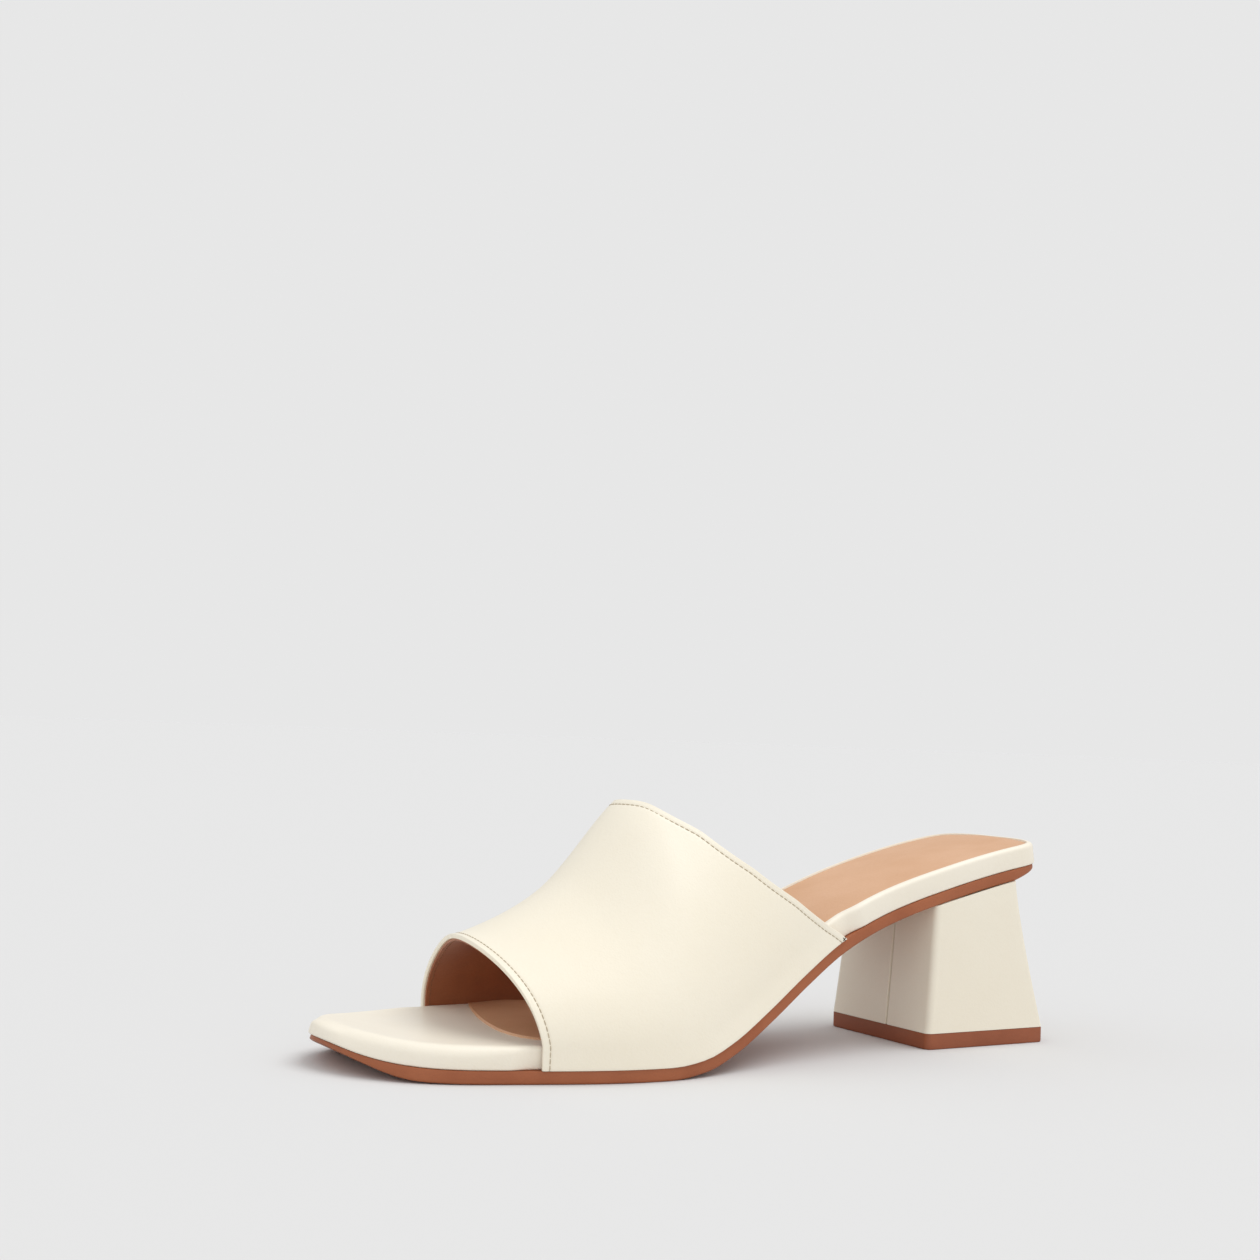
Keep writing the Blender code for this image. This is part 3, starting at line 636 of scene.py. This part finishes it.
def grown_rings(rings):
    """Closed shape that starts as a circle laid on the first ring and is extruded to each next one."""
    shape = bmesh.new()
    verts = bmesh.ops.create_circle(shape, cap_ends=False, segments=len(rings[0]))["verts"]
    edges = shape.edges[:]
    bmesh.ops.contextual_create(shape, geom=edges)
    for vert, point in zip(verts, rings[0]):
        vert.co = point
    for ring in rings[1:]:
        grown = bmesh.ops.extrude_edge_only(shape, edges=edges)["geom"]
        edges = [item for item in grown if isinstance(item, bmesh.types.BMEdge)]
        fresh = set(edges)
        above = {}
        for item in grown:
            if isinstance(item, bmesh.types.BMVert):
                below = next(edge.other_vert(item) for edge in item.link_edges if edge not in fresh)
                above[below] = item
        verts = [above[vert] for vert in verts]
        for vert, point in zip(verts, ring):
            vert.co = point
    bmesh.ops.contextual_create(shape, geom=edges)
    bmesh.ops.recalc_face_normals(shape, faces=shape.faces)
    return shape


def cut_across(shape, cuts=PLATE_CUTS):
    """Cuts the plate into narrow strips of equal width along its length."""
    xs = [vert.co.x for vert in shape.verts]
    low, high = min(xs), max(xs)
    for k in range(1, cuts):
        place = low + (high - low) * k / cuts
        bmesh.ops.bisect_plane(
            shape, geom=shape.verts[:] + shape.edges[:] + shape.faces[:], dist=SAME_PLACE,
            plane_co=(place, 0, 0), plane_no=(1, 0, 0),
        )


def bend(shape, form=None):
    """Sets each point square over the underside; form may first change the flat height."""
    xs, ys, heights = np.array([vert.co for vert in shape.verts]).T
    if form is not None:
        heights = form(xs, ys, heights)
    new_xs, new_zs = lifted(xs, heights)
    for vert, x, z in zip(shape.verts, new_xs, new_zs):
        vert.co.x = x
        vert.co.z = z
    bmesh.ops.recalc_face_normals(shape, faces=shape.faces)


def inset_ring(ring, insets):
    """The ring moved inwards by its own inset at each point."""
    run = np.roll(ring, -1, axis=0) - np.roll(ring, 1, axis=0)
    run /= np.linalg.norm(run, axis=1)[:, None]
    inward = np.stack([run[:, 1], -run[:, 0]], axis=1)
    return ring + inward * np.asarray(insets)[:, None]


OUTLINE_SIDES = np.array([1 if i <= TIP_INDEX else -1 for i in range(len(OUTLINE_CURVE))])


def under_vamp(x, side):
    """1 where the band hangs over the platform's side, easing to 0 before it and behind it."""
    foot = VAMP_EDGES[0] if side > 0 else VAMP_EDGES[-1]
    rear = foot.rear * LENGTH - VAMP_FOOT_SWEEP - NECK_REACH
    front = foot.front * LENGTH + NECK_REACH
    return ease((x - rear + NECK_LENGTH) / NECK_LENGTH) * ease((front + NECK_LENGTH - x) / NECK_LENGTH)


print("outline of", len(OUTLINE_CURVE), "points")

# %% [markdown]
# ### Outsole
# A thin sheet, cut a little smaller and skived thin at the heel's back and the toe tip. Its lower edge is only
# softly broken, and its upper edge stays crisp against the wrapped platform. It reaches up to the platform,
# because glued leather shows no gap.

# %% Outsole
OUTSOLE_END_INSET = 0.0010
OUTSOLE_FOOT_ROUND = 0.0007
GLUE_LINE = 0.00008
CRISP_EDGE = 0.0002


def make_outsole():
    insets = [OUTSOLE_END_INSET * end_share(x) for x, _ in OUTLINE_CURVE]
    shape = flat_plate(inset_ring(OUTLINE_CURVE, insets), 0.0, OUTSOLE_THICK)
    round_rim(shape, 0.0, OUTSOLE_FOOT_ROUND, 4)
    round_rim(shape, OUTSOLE_THICK, CRISP_EDGE, 2)
    cut_across(shape)

    def skived(xs, ys, heights):
        left = 1.0 - skive(xs) / OUTSOLE_THICK
        glued = (GAP - GLUE_LINE) * heights / OUTSOLE_THICK
        return OUTSOLE_THICK - (OUTSOLE_THICK - heights) * left + glued

    bend(shape, skived)
    return make_piece("outsole_sheet", shape, "brown_sole_edge", "outsole")


make_outsole()

# %% [markdown]
# ### Platform
# An insole board about six millimetres thick, wrapped in the same cream leather as the band. The leather
# stands up a little as a rim round the sock lining, and the rim runs out under the band. Its edge is rounded
# tightly at the heel and broadly at the toe tip. Under the band the board steps in, so that the band lies
# flush with it. The shape is a circle laid on the outline and extruded ring by ring, because each ring has its
# own inset.

# %% Platform
PLATFORM_FOOT_ROUND = 0.0006
FOOT_TURNS = 4
EDGE_TURNS = 9
RIM_TURNS = 4


def platform_insets():
    tucked = VAMP_WALL - VAMP_OVERHANG + GAP
    return np.array([
        PLATFORM_INSET + (tucked - PLATFORM_INSET) * under_vamp(x, side)
        for (x, _), side in zip(OUTLINE_CURVE, OUTLINE_SIDES)
    ])


def edge_round(x):
    """Radius of the platform's upper edge, which grows towards the toe tip."""
    toe_share = ease((x - SOLE_TIP + TOE_ROUND_START) / TOE_ROUND_LENGTH)
    return PLATFORM_ROUND + (PLATFORM_TOE_ROUND - PLATFORM_ROUND) * toe_share


def rim_share(x):
    """1 where the rim stands up round the sock lining, easing to 0 towards the toes."""
    return 1.0 - ease((x / LENGTH - RIM_FULL_TO) / (RIM_GONE_BY - RIM_FULL_TO))


def platform_crest(x):
    """Height of the platform's rim over the sole's underside, thinned at the toe tip."""
    tip_share = ease((x - SOLE_TIP + THINNING_LENGTH) / THINNING_LENGTH)
    plain = OUTSOLE_THICK + GAP + PLATFORM_THICK - PLATFORM_TOE_THINNED * tip_share
    return plain + RIM_RISE * rim_share(x)


def platform_floor(x):
    """Height of the face that the sock lining lies on."""
    return platform_crest(x) - (RIM_RISE + RECESS_DEPTH) * rim_share(x)


PLATFORM_INSETS = platform_insets()
RIM_FOOT_INSETS = PLATFORM_INSETS + edge_round(OUTLINE_CURVE[:, 0]) + RIM_CREST + RIM_SLOPE


def make_platform():
    base = OUTSOLE_THICK + GAP
    xs = OUTLINE_CURVE[:, 0]
    rounds = edge_round(xs)
    steps = []
    for k in range(FOOT_TURNS + 1):
        turn = 0.5 * math.pi * k / FOOT_TURNS
        inset = PLATFORM_INSETS + PLATFORM_FOOT_ROUND * (1.0 - math.sin(turn))
        steps.append((inset, lambda x, t=turn: np.full(len(x), base + PLATFORM_FOOT_ROUND * (1.0 - np.cos(t)))))
    for k in range(EDGE_TURNS + 1):
        turn = 0.5 * math.pi * k / EDGE_TURNS
        inset = PLATFORM_INSETS + rounds * (1.0 - math.cos(turn))
        steps.append((inset, lambda x, t=turn: platform_crest(x) - edge_round(x) * (1.0 - np.sin(t))))
    for k in range(RIM_TURNS + 1):
        share = k / RIM_TURNS
        inset = PLATFORM_INSETS + rounds + RIM_CREST + RIM_SLOPE * share
        fall = float(ease(share))
        steps.append(
            (inset, lambda x, f=fall: platform_crest(x) * (1.0 - f) + platform_floor(x) * f)
        )
    rings = []
    for inset, height in steps:
        ring = inset_ring(OUTLINE_CURVE, inset)
        rings.append(np.column_stack([ring, height(ring[:, 0])]))
    shape = grown_rings(rings)
    cut_across(shape)
    bend(shape)
    return make_piece("platform_wrap", shape, "cream_platform_leather", "platform")


make_platform()

# %% [markdown]
# ### Sock lining
# A sheet of tan leather glued inside the platform's rim, a little below its crest. It ends in a rounded edge
# under the toes, pared so thin that no step shows. A thin foam under it lifts its middle a little at the heel
# and at the ball.

# %% Sock lining
SOCK_STATIONS = 150
SOCK_EDGE_ROUND = 0.00025
SOCK_PARED = 0.0007
PARED_LENGTH = 0.014
SOCK_STRIP = 0.0085
SOCK_STRIPS_A_SIDE = 4
PAD_EASE = 0.012
PAD_EDGE_SHARE = 0.25
Pad = namedtuple("Pad", "along across length width lift")
SOCK_PADS = [Pad(0.12, 0.00, 0.035, 0.020, 0.0007), Pad(0.66, -0.01, 0.045, 0.030, 0.0005)]


def stations(start, end, count):
    """Places along X, closer together at both ends."""
    return [start + (end - start) * 0.5 * (1.0 - math.cos(math.pi * i / count)) for i in range(count + 1)]


def sock_side(line, side):
    """One side of the sock lining, from the back to the apex of its front edge."""
    apex_x = SOCK_APEX.along * LENGTH
    apex_y = SOCK_APEX.across * BALL_WIDTH
    sweep = SOCK_FRONT[side].sweep * LENGTH
    corner_y = float(np.interp(apex_x - sweep, line[:, 0], line[:, 1]))
    points = []
    for x in stations(float(line[0, 0]), apex_x, SOCK_STATIONS):
        y = float(np.interp(x, line[:, 0], line[:, 1]))
        if x >= apex_x - sweep:
            y = apex_y + (corner_y - apex_y) * max(0.0, (apex_x - x) / sweep) ** (1.0 / SOCK_FRONT[side].power)
        points.append((x, y))
    return points


def short_of_front(xs, ys):
    """How far each point lies behind the sock lining's front edge, along X."""
    apex_x, apex_y = SOCK_APEX.along * LENGTH, SOCK_APEX.across * BALL_WIDTH
    short = np.zeros(len(xs))
    for side, line in ((1, OUTER_SIDE), (-1, INNER_SIDE)):
        sweep = SOCK_FRONT[side].sweep * LENGTH
        corner = float(np.interp(apex_x - sweep, line[:, 0], line[:, 1]))
        share = np.clip((ys - apex_y) / (corner - apex_y), 0.0, 1.0)
        here = (ys - apex_y) * side >= 0.0
        short[here] = (apex_x - sweep * share ** SOCK_FRONT[side].power - xs)[here]
    return short


def make_sock():
    ring = inset_ring(OUTLINE_CURVE, RIM_FOOT_INSETS)
    outer = sock_side(ring[: TIP_INDEX + 1], 1)
    inner = sock_side(np.vstack([ring[TIP_INDEX:], ring[:1]])[::-1], -1)
    top = SOCK_THICK + GAP
    shape = flat_plate(np.array(outer + inner[-2:0:-1]), 0.0, top)
    round_rim(shape, top, SOCK_EDGE_ROUND, 3)
    cut_across(shape)
    for k in range(-SOCK_STRIPS_A_SIDE, SOCK_STRIPS_A_SIDE + 1):
        bmesh.ops.bisect_plane(
            shape, geom=shape.verts[:] + shape.edges[:] + shape.faces[:], dist=SAME_PLACE,
            plane_co=(0, SOCK_STRIP * k, 0), plane_no=(0, 1, 0),
        )

    def padded(xs, ys, heights):
        lift = np.zeros(len(xs))
        for pad in SOCK_PADS:
            along = (xs - pad.along * LENGTH) / pad.length
            across = (ys - pad.across * BALL_WIDTH) / pad.width
            lift += pad.lift * np.exp(-(along ** 2 + across ** 2))
        room = ease(np.minimum(outer_edge(xs) - ys, ys - inner_edge(xs)) / PAD_EASE - PAD_EDGE_SHARE)
        pared = SOCK_PARED * (1.0 - ease(short_of_front(xs, ys) / PARED_LENGTH)) * heights / top
        return platform_floor(xs) + heights - pared + np.where(heights > top - 1e-5, lift * room, 0.0)

    bend(shape, padded)
    return make_piece("sock_sheet", shape, "tan_sock_leather", "sock_lining")


make_sock()

# %% [markdown]
# ## The band
# The band, or vamp, is one piece of leather over the instep, with a lining inside. Its face is a surface with
# two directions: along the foot, from its rear edge to its front edge, and around it, from the outer sole edge
# over the crown to the inner one. A grid takes that form point by point, and gets its thickness afterwards.

# %% The band's face
BAND_FOOT_SHARE = 0.035
BAND_AROUND = 0.19
ROW_STEPS = 160
Crease = namedtuple("Crease", "along around to_along to_around width lift")
CREASES = [
    Crease(0.640, 0.16, 0.560, 0.10, 0.0090, -0.00035),
    Crease(0.700, 0.30, 0.610, 0.20, 0.0080, -0.00030),
    Crease(0.735, 0.16, 0.690, 0.30, 0.0100, 0.00025),
    Crease(0.620, 0.36, 0.700, 0.44, 0.0085, 0.00030),
    Crease(0.690, 0.66, 0.610, 0.80, 0.0085, -0.00030),
    Crease(0.735, 0.78, 0.660, 0.88, 0.0090, 0.00025),
]
CROWN_XS = np.linspace(0.34, 0.87, 400)
CROWN_SOFTENING = 7


def softened(values, width):
    """The curve's values with its small changes of bend evened out."""
    reach = np.arange(-3 * width, 3 * width + 1)
    weights = np.exp(-0.5 * (reach / width) ** 2)
    padded = np.pad(values, 3 * width, mode="edge")
    return np.convolve(padded, weights / weights.sum(), mode="valid")


CROWN_PLACES = [crown.along for crown in VAMP_CROWN]
CROWN_RISES = softened(smooth(CROWN_PLACES, [crown.rise for crown in VAMP_CROWN], CROWN_XS), CROWN_SOFTENING)
CROWN_RIDGES = softened(smooth(CROWN_PLACES, [crown.ridge for crown in VAMP_CROWN], CROWN_XS), CROWN_SOFTENING)

EDGE_TURNS_FINE = np.linspace(0.0, 1.0, 200)
EDGE_TURNS_GIVEN = [edge.around for edge in VAMP_EDGES]
EDGE_LINES = {
    column: evenly_bent(EDGE_TURNS_GIVEN, [getattr(edge, column) for edge in VAMP_EDGES], EDGE_TURNS_FINE)
    for column in ("rear", "front")
}


def band_edge(around, column):
    return LENGTH * np.interp(around, EDGE_TURNS_FINE, EDGE_LINES[column])


def foot_sweep(share):
    """How far the rear edge reaches back at its foot, below the platform's top."""
    up = np.clip(np.minimum(share, 1.0 - share) / BAND_FOOT_SHARE, 0.0, 1.0)
    return VAMP_FOOT_SWEEP * (1.0 - up)


def band_point(station, share):
    """Point of the band's face over a station of the sole, at a share of the way around it."""
    station, share = np.broadcast_arrays(np.asarray(station, float), np.asarray(share, float))
    around = np.clip((share - BAND_FOOT_SHARE) / (1.0 - 2.0 * BAND_FOOT_SHARE), 0.0, 1.0)
    foot = np.clip(np.minimum(share, 1.0 - share) / BAND_FOOT_SHARE, 0.0, 1.0)
    x, z = lifted(station, OUTSOLE_THICK + GAP + PLATFORM_THICK * foot)
    turn = math.pi * around
    rise = np.interp(x / LENGTH, CROWN_XS, CROWN_RISES)
    height = TOE_OPENING_HEIGHT + (INSTEP_HEIGHT - TOE_OPENING_HEIGHT) * rise
    ridge = BALL_WIDTH * np.interp(x / LENGTH, CROWN_XS, CROWN_RIDGES)
    lean = ease((x / LENGTH - TENT_FROM) / (TENT_TO - TENT_FROM))
    tent = TENT_AT_INSTEP + (TENT_AT_TOE - TENT_AT_INSTEP) * lean
    edge = np.where(share < 0.5, outer_edge(station) + VAMP_OVERHANG, inner_edge(station) - VAMP_OVERHANG)
    across = np.abs(np.cos(turn))
    y = ridge + (edge - ridge) * across * (1.0 - tent * (1.0 - across * across))
    return np.stack([x, y, z + height * np.sin(turn)], axis=-1)


def crease_lift(station, share):
    """Height of the soft troughs and ridges over the plain face."""
    place = np.stack([station, share * BAND_AROUND], axis=-1)
    lift = np.zeros(place.shape[:-1])
    for crease in CREASES:
        start = np.array([crease.along * LENGTH, crease.around * BAND_AROUND])
        run = np.array([crease.to_along * LENGTH, crease.to_around * BAND_AROUND]) - start
        share_of_run = np.clip(((place - start) @ run) / (run @ run), 0.0, 1.0)
        off = place - start - share_of_run[..., None] * run
        fade = 1.0 - 0.5 * share_of_run
        lift += crease.lift * fade * np.exp(-np.sum(off * off, axis=-1) / crease.width ** 2)
    return lift


def band_row(share):
    """Stations along one row, the row's length up to each, and how squarely it meets both edges."""
    around = np.clip((share - BAND_FOOT_SHARE) / (1.0 - 2.0 * BAND_FOOT_SHARE), 0.0, 1.0)
    rear, front = band_edge(around, "rear") - foot_sweep(share), band_edge(around, "front")
    places = np.linspace(rear, front, ROW_STEPS + 1)
    points = band_point(places, share)
    lengths = np.concatenate([[0.0], np.cumsum(np.linalg.norm(np.diff(points, axis=0), axis=1))])
    squares = []
    for column, at, ahead in (("rear", 0, 1), ("front", -1, -2)):
        near = np.clip(around + np.array([-0.004, 0.004]), 0.0, 1.0)
        shares = BAND_FOOT_SHARE + near * (1.0 - 2.0 * BAND_FOOT_SHARE)
        first, second = (band_point(band_edge(a, column), s) for a, s in zip(near, shares))
        tangent = (second - first) / np.linalg.norm(second - first)
        run = points[ahead] - points[at]
        run /= np.linalg.norm(run)
        squares.append(max(0.25, float(np.linalg.norm(np.cross(tangent, run)))))
    return places, lengths, squares


print("crown over the rear edge", np.round(1000 * band_point(band_edge(0.5, "rear"), 0.5), 1), "mm")

# %% Setting a grid on the band
COLUMN_MARGINS = [
    0.0, 0.0003, 0.0006, 0.0010, 0.0013, 0.0016, 0.0018, 0.0020, 0.0022, 0.0025, 0.0029, 0.0035, 0.0044,
    0.0058, 0.0078,
]
MIDDLE_COLUMNS = 26
BAND_ROWS = 150
STITCH_MARGIN = 0.0020
STITCH_GROOVE = 0.00016
GROOVE_WIDTH = 0.00035


def column_places(row, margin):
    """Stations of the grid's columns in a row, each set by its distance from the nearer edge."""
    places, lengths, (rear_square, front_square) = row
    rear = [(margin + m) / rear_square for m in COLUMN_MARGINS]
    front = [lengths[-1] - (margin + m) / front_square for m in COLUMN_MARGINS[::-1]]
    middle = np.linspace(rear[-1], front[0], MIDDLE_COLUMNS + 2)[1:-1]
    return np.interp(rear + list(middle) + front, lengths, places)


def groove_depth():
    """Depth of the stitch line's groove at each column."""
    near = [STITCH_GROOVE * math.exp(-((m - STITCH_MARGIN) / GROOVE_WIDTH) ** 2) for m in COLUMN_MARGINS]
    return np.array(near + [0.0] * MIDDLE_COLUMNS + near[::-1])


def band_sheet(margin, depth, wall, grooved):
    """Closed sheet of the band's form, with its outer skin at a depth under the band's face."""
    columns = 2 * len(COLUMN_MARGINS) + MIDDLE_COLUMNS
    shape = bmesh.new()
    bmesh.ops.create_grid(shape, x_segments=columns - 1, y_segments=BAND_ROWS - 1, size=1.0)
    verts = sorted(shape.verts, key=lambda vert: (round(vert.co.y, 6), vert.co.x))
    shares = []
    for j in range(BAND_ROWS):
        share = j / (BAND_ROWS - 1)
        places = column_places(band_row(share), margin)
        points = band_point(places, share)
        shares.append(places)
        for vert, point in zip(verts[j * columns:(j + 1) * columns], points):
            vert.co = point
    shape.normal_update()
    if verts[columns * (BAND_ROWS // 2)].normal.z < 0:
        bmesh.ops.reverse_faces(shape, faces=shape.faces)
        shape.normal_update()
    lifts = crease_lift(np.array(shares), np.linspace(0, 1, BAND_ROWS)[:, None] * np.ones(columns))
    fade = np.clip(np.minimum(np.arange(columns), np.arange(columns)[::-1]) / len(COLUMN_MARGINS), 0, 1)
    lifts = lifts * ease(fade)
    if grooved:
        lifts = lifts - groove_depth()
    for vert, lift, normal in zip(verts, lifts.ravel(), [vert.normal.copy() for vert in verts]):
        vert.co += normal * (float(lift) - depth)
    bmesh.ops.solidify(shape, geom=shape.faces[:], thickness=wall)
    bmesh.ops.recalc_face_normals(shape, faces=shape.faces)
    return shape


BAND_LEATHER = 0.0014
FOLD_ROUND = 0.00055
BAND_EDGE_ANGLE = 1.1
LINING_MARGIN = 0.0007
LINING_GLUE = 0.00002


def make_band():
    shape = band_sheet(0.0, 0.0, BAND_LEATHER, True)
    rims = [edge for edge in shape.edges if edge.is_manifold and edge.calc_face_angle() > BAND_EDGE_ANGLE]
    bmesh.ops.bevel(
        shape, geom=rims, offset=FOLD_ROUND, offset_type="OFFSET", segments=4, profile=0.5,
        affect="EDGES", material=-1, clamp_overlap=True,
    )
    return make_piece("band_leather", shape, "cream_upper_leather", "vamp")


# The lining's dark tan is painted shade for the hollow inside the band.
def make_lining():
    shape = band_sheet(LINING_MARGIN, BAND_LEATHER + LINING_GLUE, VAMP_WALL - BAND_LEATHER, False)
    return make_piece("band_lining", shape, "tan_lining_leather_painted_shade")


make_band()
make_lining()

# %% [markdown]
# ## Stitches
# Both edges of the band are folded over and sewn down, two millimetres in. One stitch is a short length of
# thread that dives into the leather at both ends: a small ring swept along a flat arc. The line of stitches is
# that one shape, set down again and again.

# %% One stitch and a line of them
STITCH_LENGTH = 0.0014
STITCH_PITCH = 0.0017
THREAD = 0.00026
STITCH_SAG = 0.00018
STITCH_SHOWING = 0.62
NEAR_ALONG = 0.0004
NEAR_AROUND = 0.002
NEAR_STITCH = 0.0005


def one_stitch():
    """A thread's arc along X with its ends sunk below Z = 0."""
    shape = bmesh.new()
    ring = bmesh.ops.create_circle(shape, cap_ends=True, segments=6, radius=0.5 * THREAD)
    half = 0.5 * STITCH_LENGTH
    radius = (half * half + STITCH_SAG ** 2) / (2.0 * STITCH_SAG)
    reach = math.asin(half / radius)
    bmesh.ops.rotate(shape, verts=shape.verts, matrix=Matrix.Rotation(0.5 * math.pi, 3, "Y"))
    bmesh.ops.translate(shape, verts=shape.verts, vec=(0, 0, radius))
    bmesh.ops.rotate(shape, verts=shape.verts, matrix=Matrix.Rotation(-reach, 3, "Y"))
    bmesh.ops.spin(
        shape, geom=shape.faces[:], cent=(0, 0, 0), axis=(0, 1, 0), dvec=(0, 0, 0), angle=2.0 * reach, steps=5,
        use_merge=False, use_duplicate=False,
    )
    bmesh.ops.translate(shape, verts=shape.verts, vec=(0, 0, STITCH_SAG * STITCH_SHOWING - radius))
    bmesh.ops.recalc_face_normals(shape, faces=shape.faces)
    mesh = bpy.data.meshes.new("one_stitch")
    shape.to_mesh(mesh)
    shape.free()
    return mesh


ONE_STITCH = one_stitch()


def seam_line(column, margin):
    """Dense points and outward normals of the band's face along an edge, at a margin from it."""
    points, normals = [], []
    for share in np.linspace(0.0, 1.0, 500):
        places, lengths, squares = band_row(share)
        square = squares[0] if column == "rear" else squares[1]
        reach = margin / square if column == "rear" else lengths[-1] - margin / square
        station = float(np.interp(reach, lengths, places))
        point = band_point(station, share)
        along = band_point(station + NEAR_ALONG, share) - band_point(station - NEAR_ALONG, share)
        low, high = max(0.0, share - NEAR_AROUND), min(1.0, share + NEAR_AROUND)
        around = band_point(station, high) - band_point(station, low)
        normal = np.cross(around, along)
        points.append(point)
        normals.append(normal / np.linalg.norm(normal))
    return np.array(points), np.array(normals)


def stitch_line(name, column, depth, finish, sign):
    """Stitches along one edge, on the face (sign 1) or on the lining (sign -1)."""
    points, normals = seam_line(column, STITCH_MARGIN)
    if normals[len(normals) // 2][2] < 0:
        normals = -normals
    points = points - normals * depth
    lengths = np.concatenate([[0.0], np.cumsum(np.linalg.norm(np.diff(points, axis=0), axis=1))])
    count = int(lengths[-1] // STITCH_PITCH)
    shape = bmesh.new()
    for k in range(count):
        middle = (k + 0.5) * lengths[-1] / count
        place = Vector([np.interp(middle, lengths, points[:, a]) for a in range(3)])
        ahead = Vector([np.interp(middle + NEAR_STITCH, lengths, points[:, a]) for a in range(3)])
        behind = Vector([np.interp(middle - NEAR_STITCH, lengths, points[:, a]) for a in range(3)])
        out = sign * Vector([np.interp(middle, lengths, normals[:, a]) for a in range(3)]).normalized()
        run = (ahead - behind).normalized()
        side = out.cross(run).normalized()
        out = run.cross(side)
        turn = Matrix((run, side, out)).transposed().to_4x4()
        first = len(shape.verts)
        shape.from_mesh(ONE_STITCH)
        shape.verts.ensure_lookup_table()
        bmesh.ops.transform(shape, verts=shape.verts[first:], matrix=Matrix.Translation(place) @ turn)
    print(count, "stitches")
    return make_piece(name, shape, finish)


# The face's stitches use cream thread greyed as painted shade of their groove.
# The lining's stitches use that same thread painted dark tan as shade inside the band.
for edge_name in ("front", "rear"):
    stitch_line(edge_name + "_stitches", edge_name, STITCH_GROOVE, "cream_thread_painted_groove_shade", 1)
    stitch_line(edge_name + "_lining_stitches", edge_name, VAMP_WALL, "tan_lining_thread_painted_shade", -1)

# %% A dark mark at the rear edge's foot
DARK_MARK_ACROSS = 0.0009
DARK_MARK_UP = 0.10


def make_dark_foot_mark():
    """Two crossed stitches of dark thread at the rear edge's outer foot, a dark spot where the band meets the
    outsole.
    """
    share = BAND_FOOT_SHARE * DARK_MARK_UP
    station = float(band_edge(0.0, "rear") - foot_sweep(share)) + DARK_MARK_ACROSS
    place = Vector(band_point(station, share))
    shape = bmesh.new()
    for turn in (0.25 * math.pi, 0.75 * math.pi):
        first = len(shape.verts)
        shape.from_mesh(ONE_STITCH)
        shape.verts.ensure_lookup_table()
        outward = Matrix.Rotation(-0.5 * math.pi, 4, "X") @ Matrix.Rotation(turn, 4, "Z")
        bmesh.ops.transform(shape, verts=shape.verts[first:], matrix=Matrix.Translation(place) @ outward)
    return make_piece("dark_foot_mark", shape, "dark_mark_thread")


make_dark_foot_mark()

# %% [markdown]
# ## Heel
# A flared block wrapped in leather. Its sides and back are one piece of leather, and its ends meet in a butt
# seam up the breast, the face that looks to the toe, a few millimetres off its middle towards the outer side.
# The block is extruded from a rounded rectangle, ring by ring, and its top follows the sole. The seam is a
# narrow groove in every ring.

# %% Heel block
HEEL_CORNER = 0.0022
HEEL_LEVELS = 16
CORNER_STEPS = 6
SIDE_STEPS = 10
SEAM_OFFSETS = [0.0, 0.00028, 0.00038, 0.00052, 0.0008, 0.0014]
SEAM_DEPTHS = [0.0014, 0.0012, 0.00025, 0.00006, 0.0, 0.0]
SEAM_AT_TOP = 0.0026
SEAM_AT_TIP = 0.0040


def heel_ring(share, seamed=True):
    """Rounded rectangle of the heel at a share of its height, from the middle of the back all round."""
    back, front, middle, half = heel_limits(share)
    seam = SEAM_AT_TIP + (SEAM_AT_TOP - SEAM_AT_TIP) * share
    reach = front - back - 2.0 * HEEL_CORNER
    sides = {}
    for side in (1, -1):
        line = [(back, 0.0), (back, side * 0.5 * (half - HEEL_CORNER))]
        for k in range(CORNER_STEPS + 1):
            turn = 0.5 * math.pi * k / CORNER_STEPS
            y = half - HEEL_CORNER * (1 - math.sin(turn))
            line.append((back + HEEL_CORNER * (1 - math.cos(turn)), side * y))
        for k in range(1, SIDE_STEPS):
            line.append((back + HEEL_CORNER + reach * k / SIDE_STEPS, side * half))
        for k in range(CORNER_STEPS + 1):
            turn = 0.5 * math.pi * k / CORNER_STEPS
            y = half - HEEL_CORNER * (1 - math.cos(turn))
            line.append((front - HEEL_CORNER * (1 - math.sin(turn)), side * y))
        line.append((front, side * 0.5 * (half - HEEL_CORNER)))
        for offset, depth in reversed(list(zip(SEAM_OFFSETS, SEAM_DEPTHS))):
            line.append((front - depth * seamed, seam + side * offset))
        sides[side] = line
    return [(x, middle + y) for x, y in sides[1] + sides[-1][-2:0:-1]]


def make_heel():
    base = HEEL_TIP_THICK + GLUE_LINE
    rings = []
    for k in range(HEEL_LEVELS + 1):
        share = k / HEEL_LEVELS
        rings.append([
            (x, y, base + share * (float(underside(x)) - GLUE_LINE - base)) for x, y in heel_ring(share)
        ])
    return make_piece("heel_wrap", grown_rings(rings), "cream_heel_leather", "heel_block")


make_heel()

# %% [markdown]
# ### Heel tip
# A plate under the heel, cut to its outline, with its lower edge broken.

# %% Heel tip
HEEL_TIP_ROUND = 0.0005


def make_heel_tip():
    shape = flat_plate(heel_ring(0.0, seamed=False), 0.0, HEEL_TIP_THICK)
    round_rim(shape, 0.0, HEEL_TIP_ROUND, 3)
    round_rim(shape, HEEL_TIP_THICK, CRISP_EDGE, 2)
    return make_piece("heel_tip_plate", shape, "brown_heel_tip", "heel_tip")


make_heel_tip()
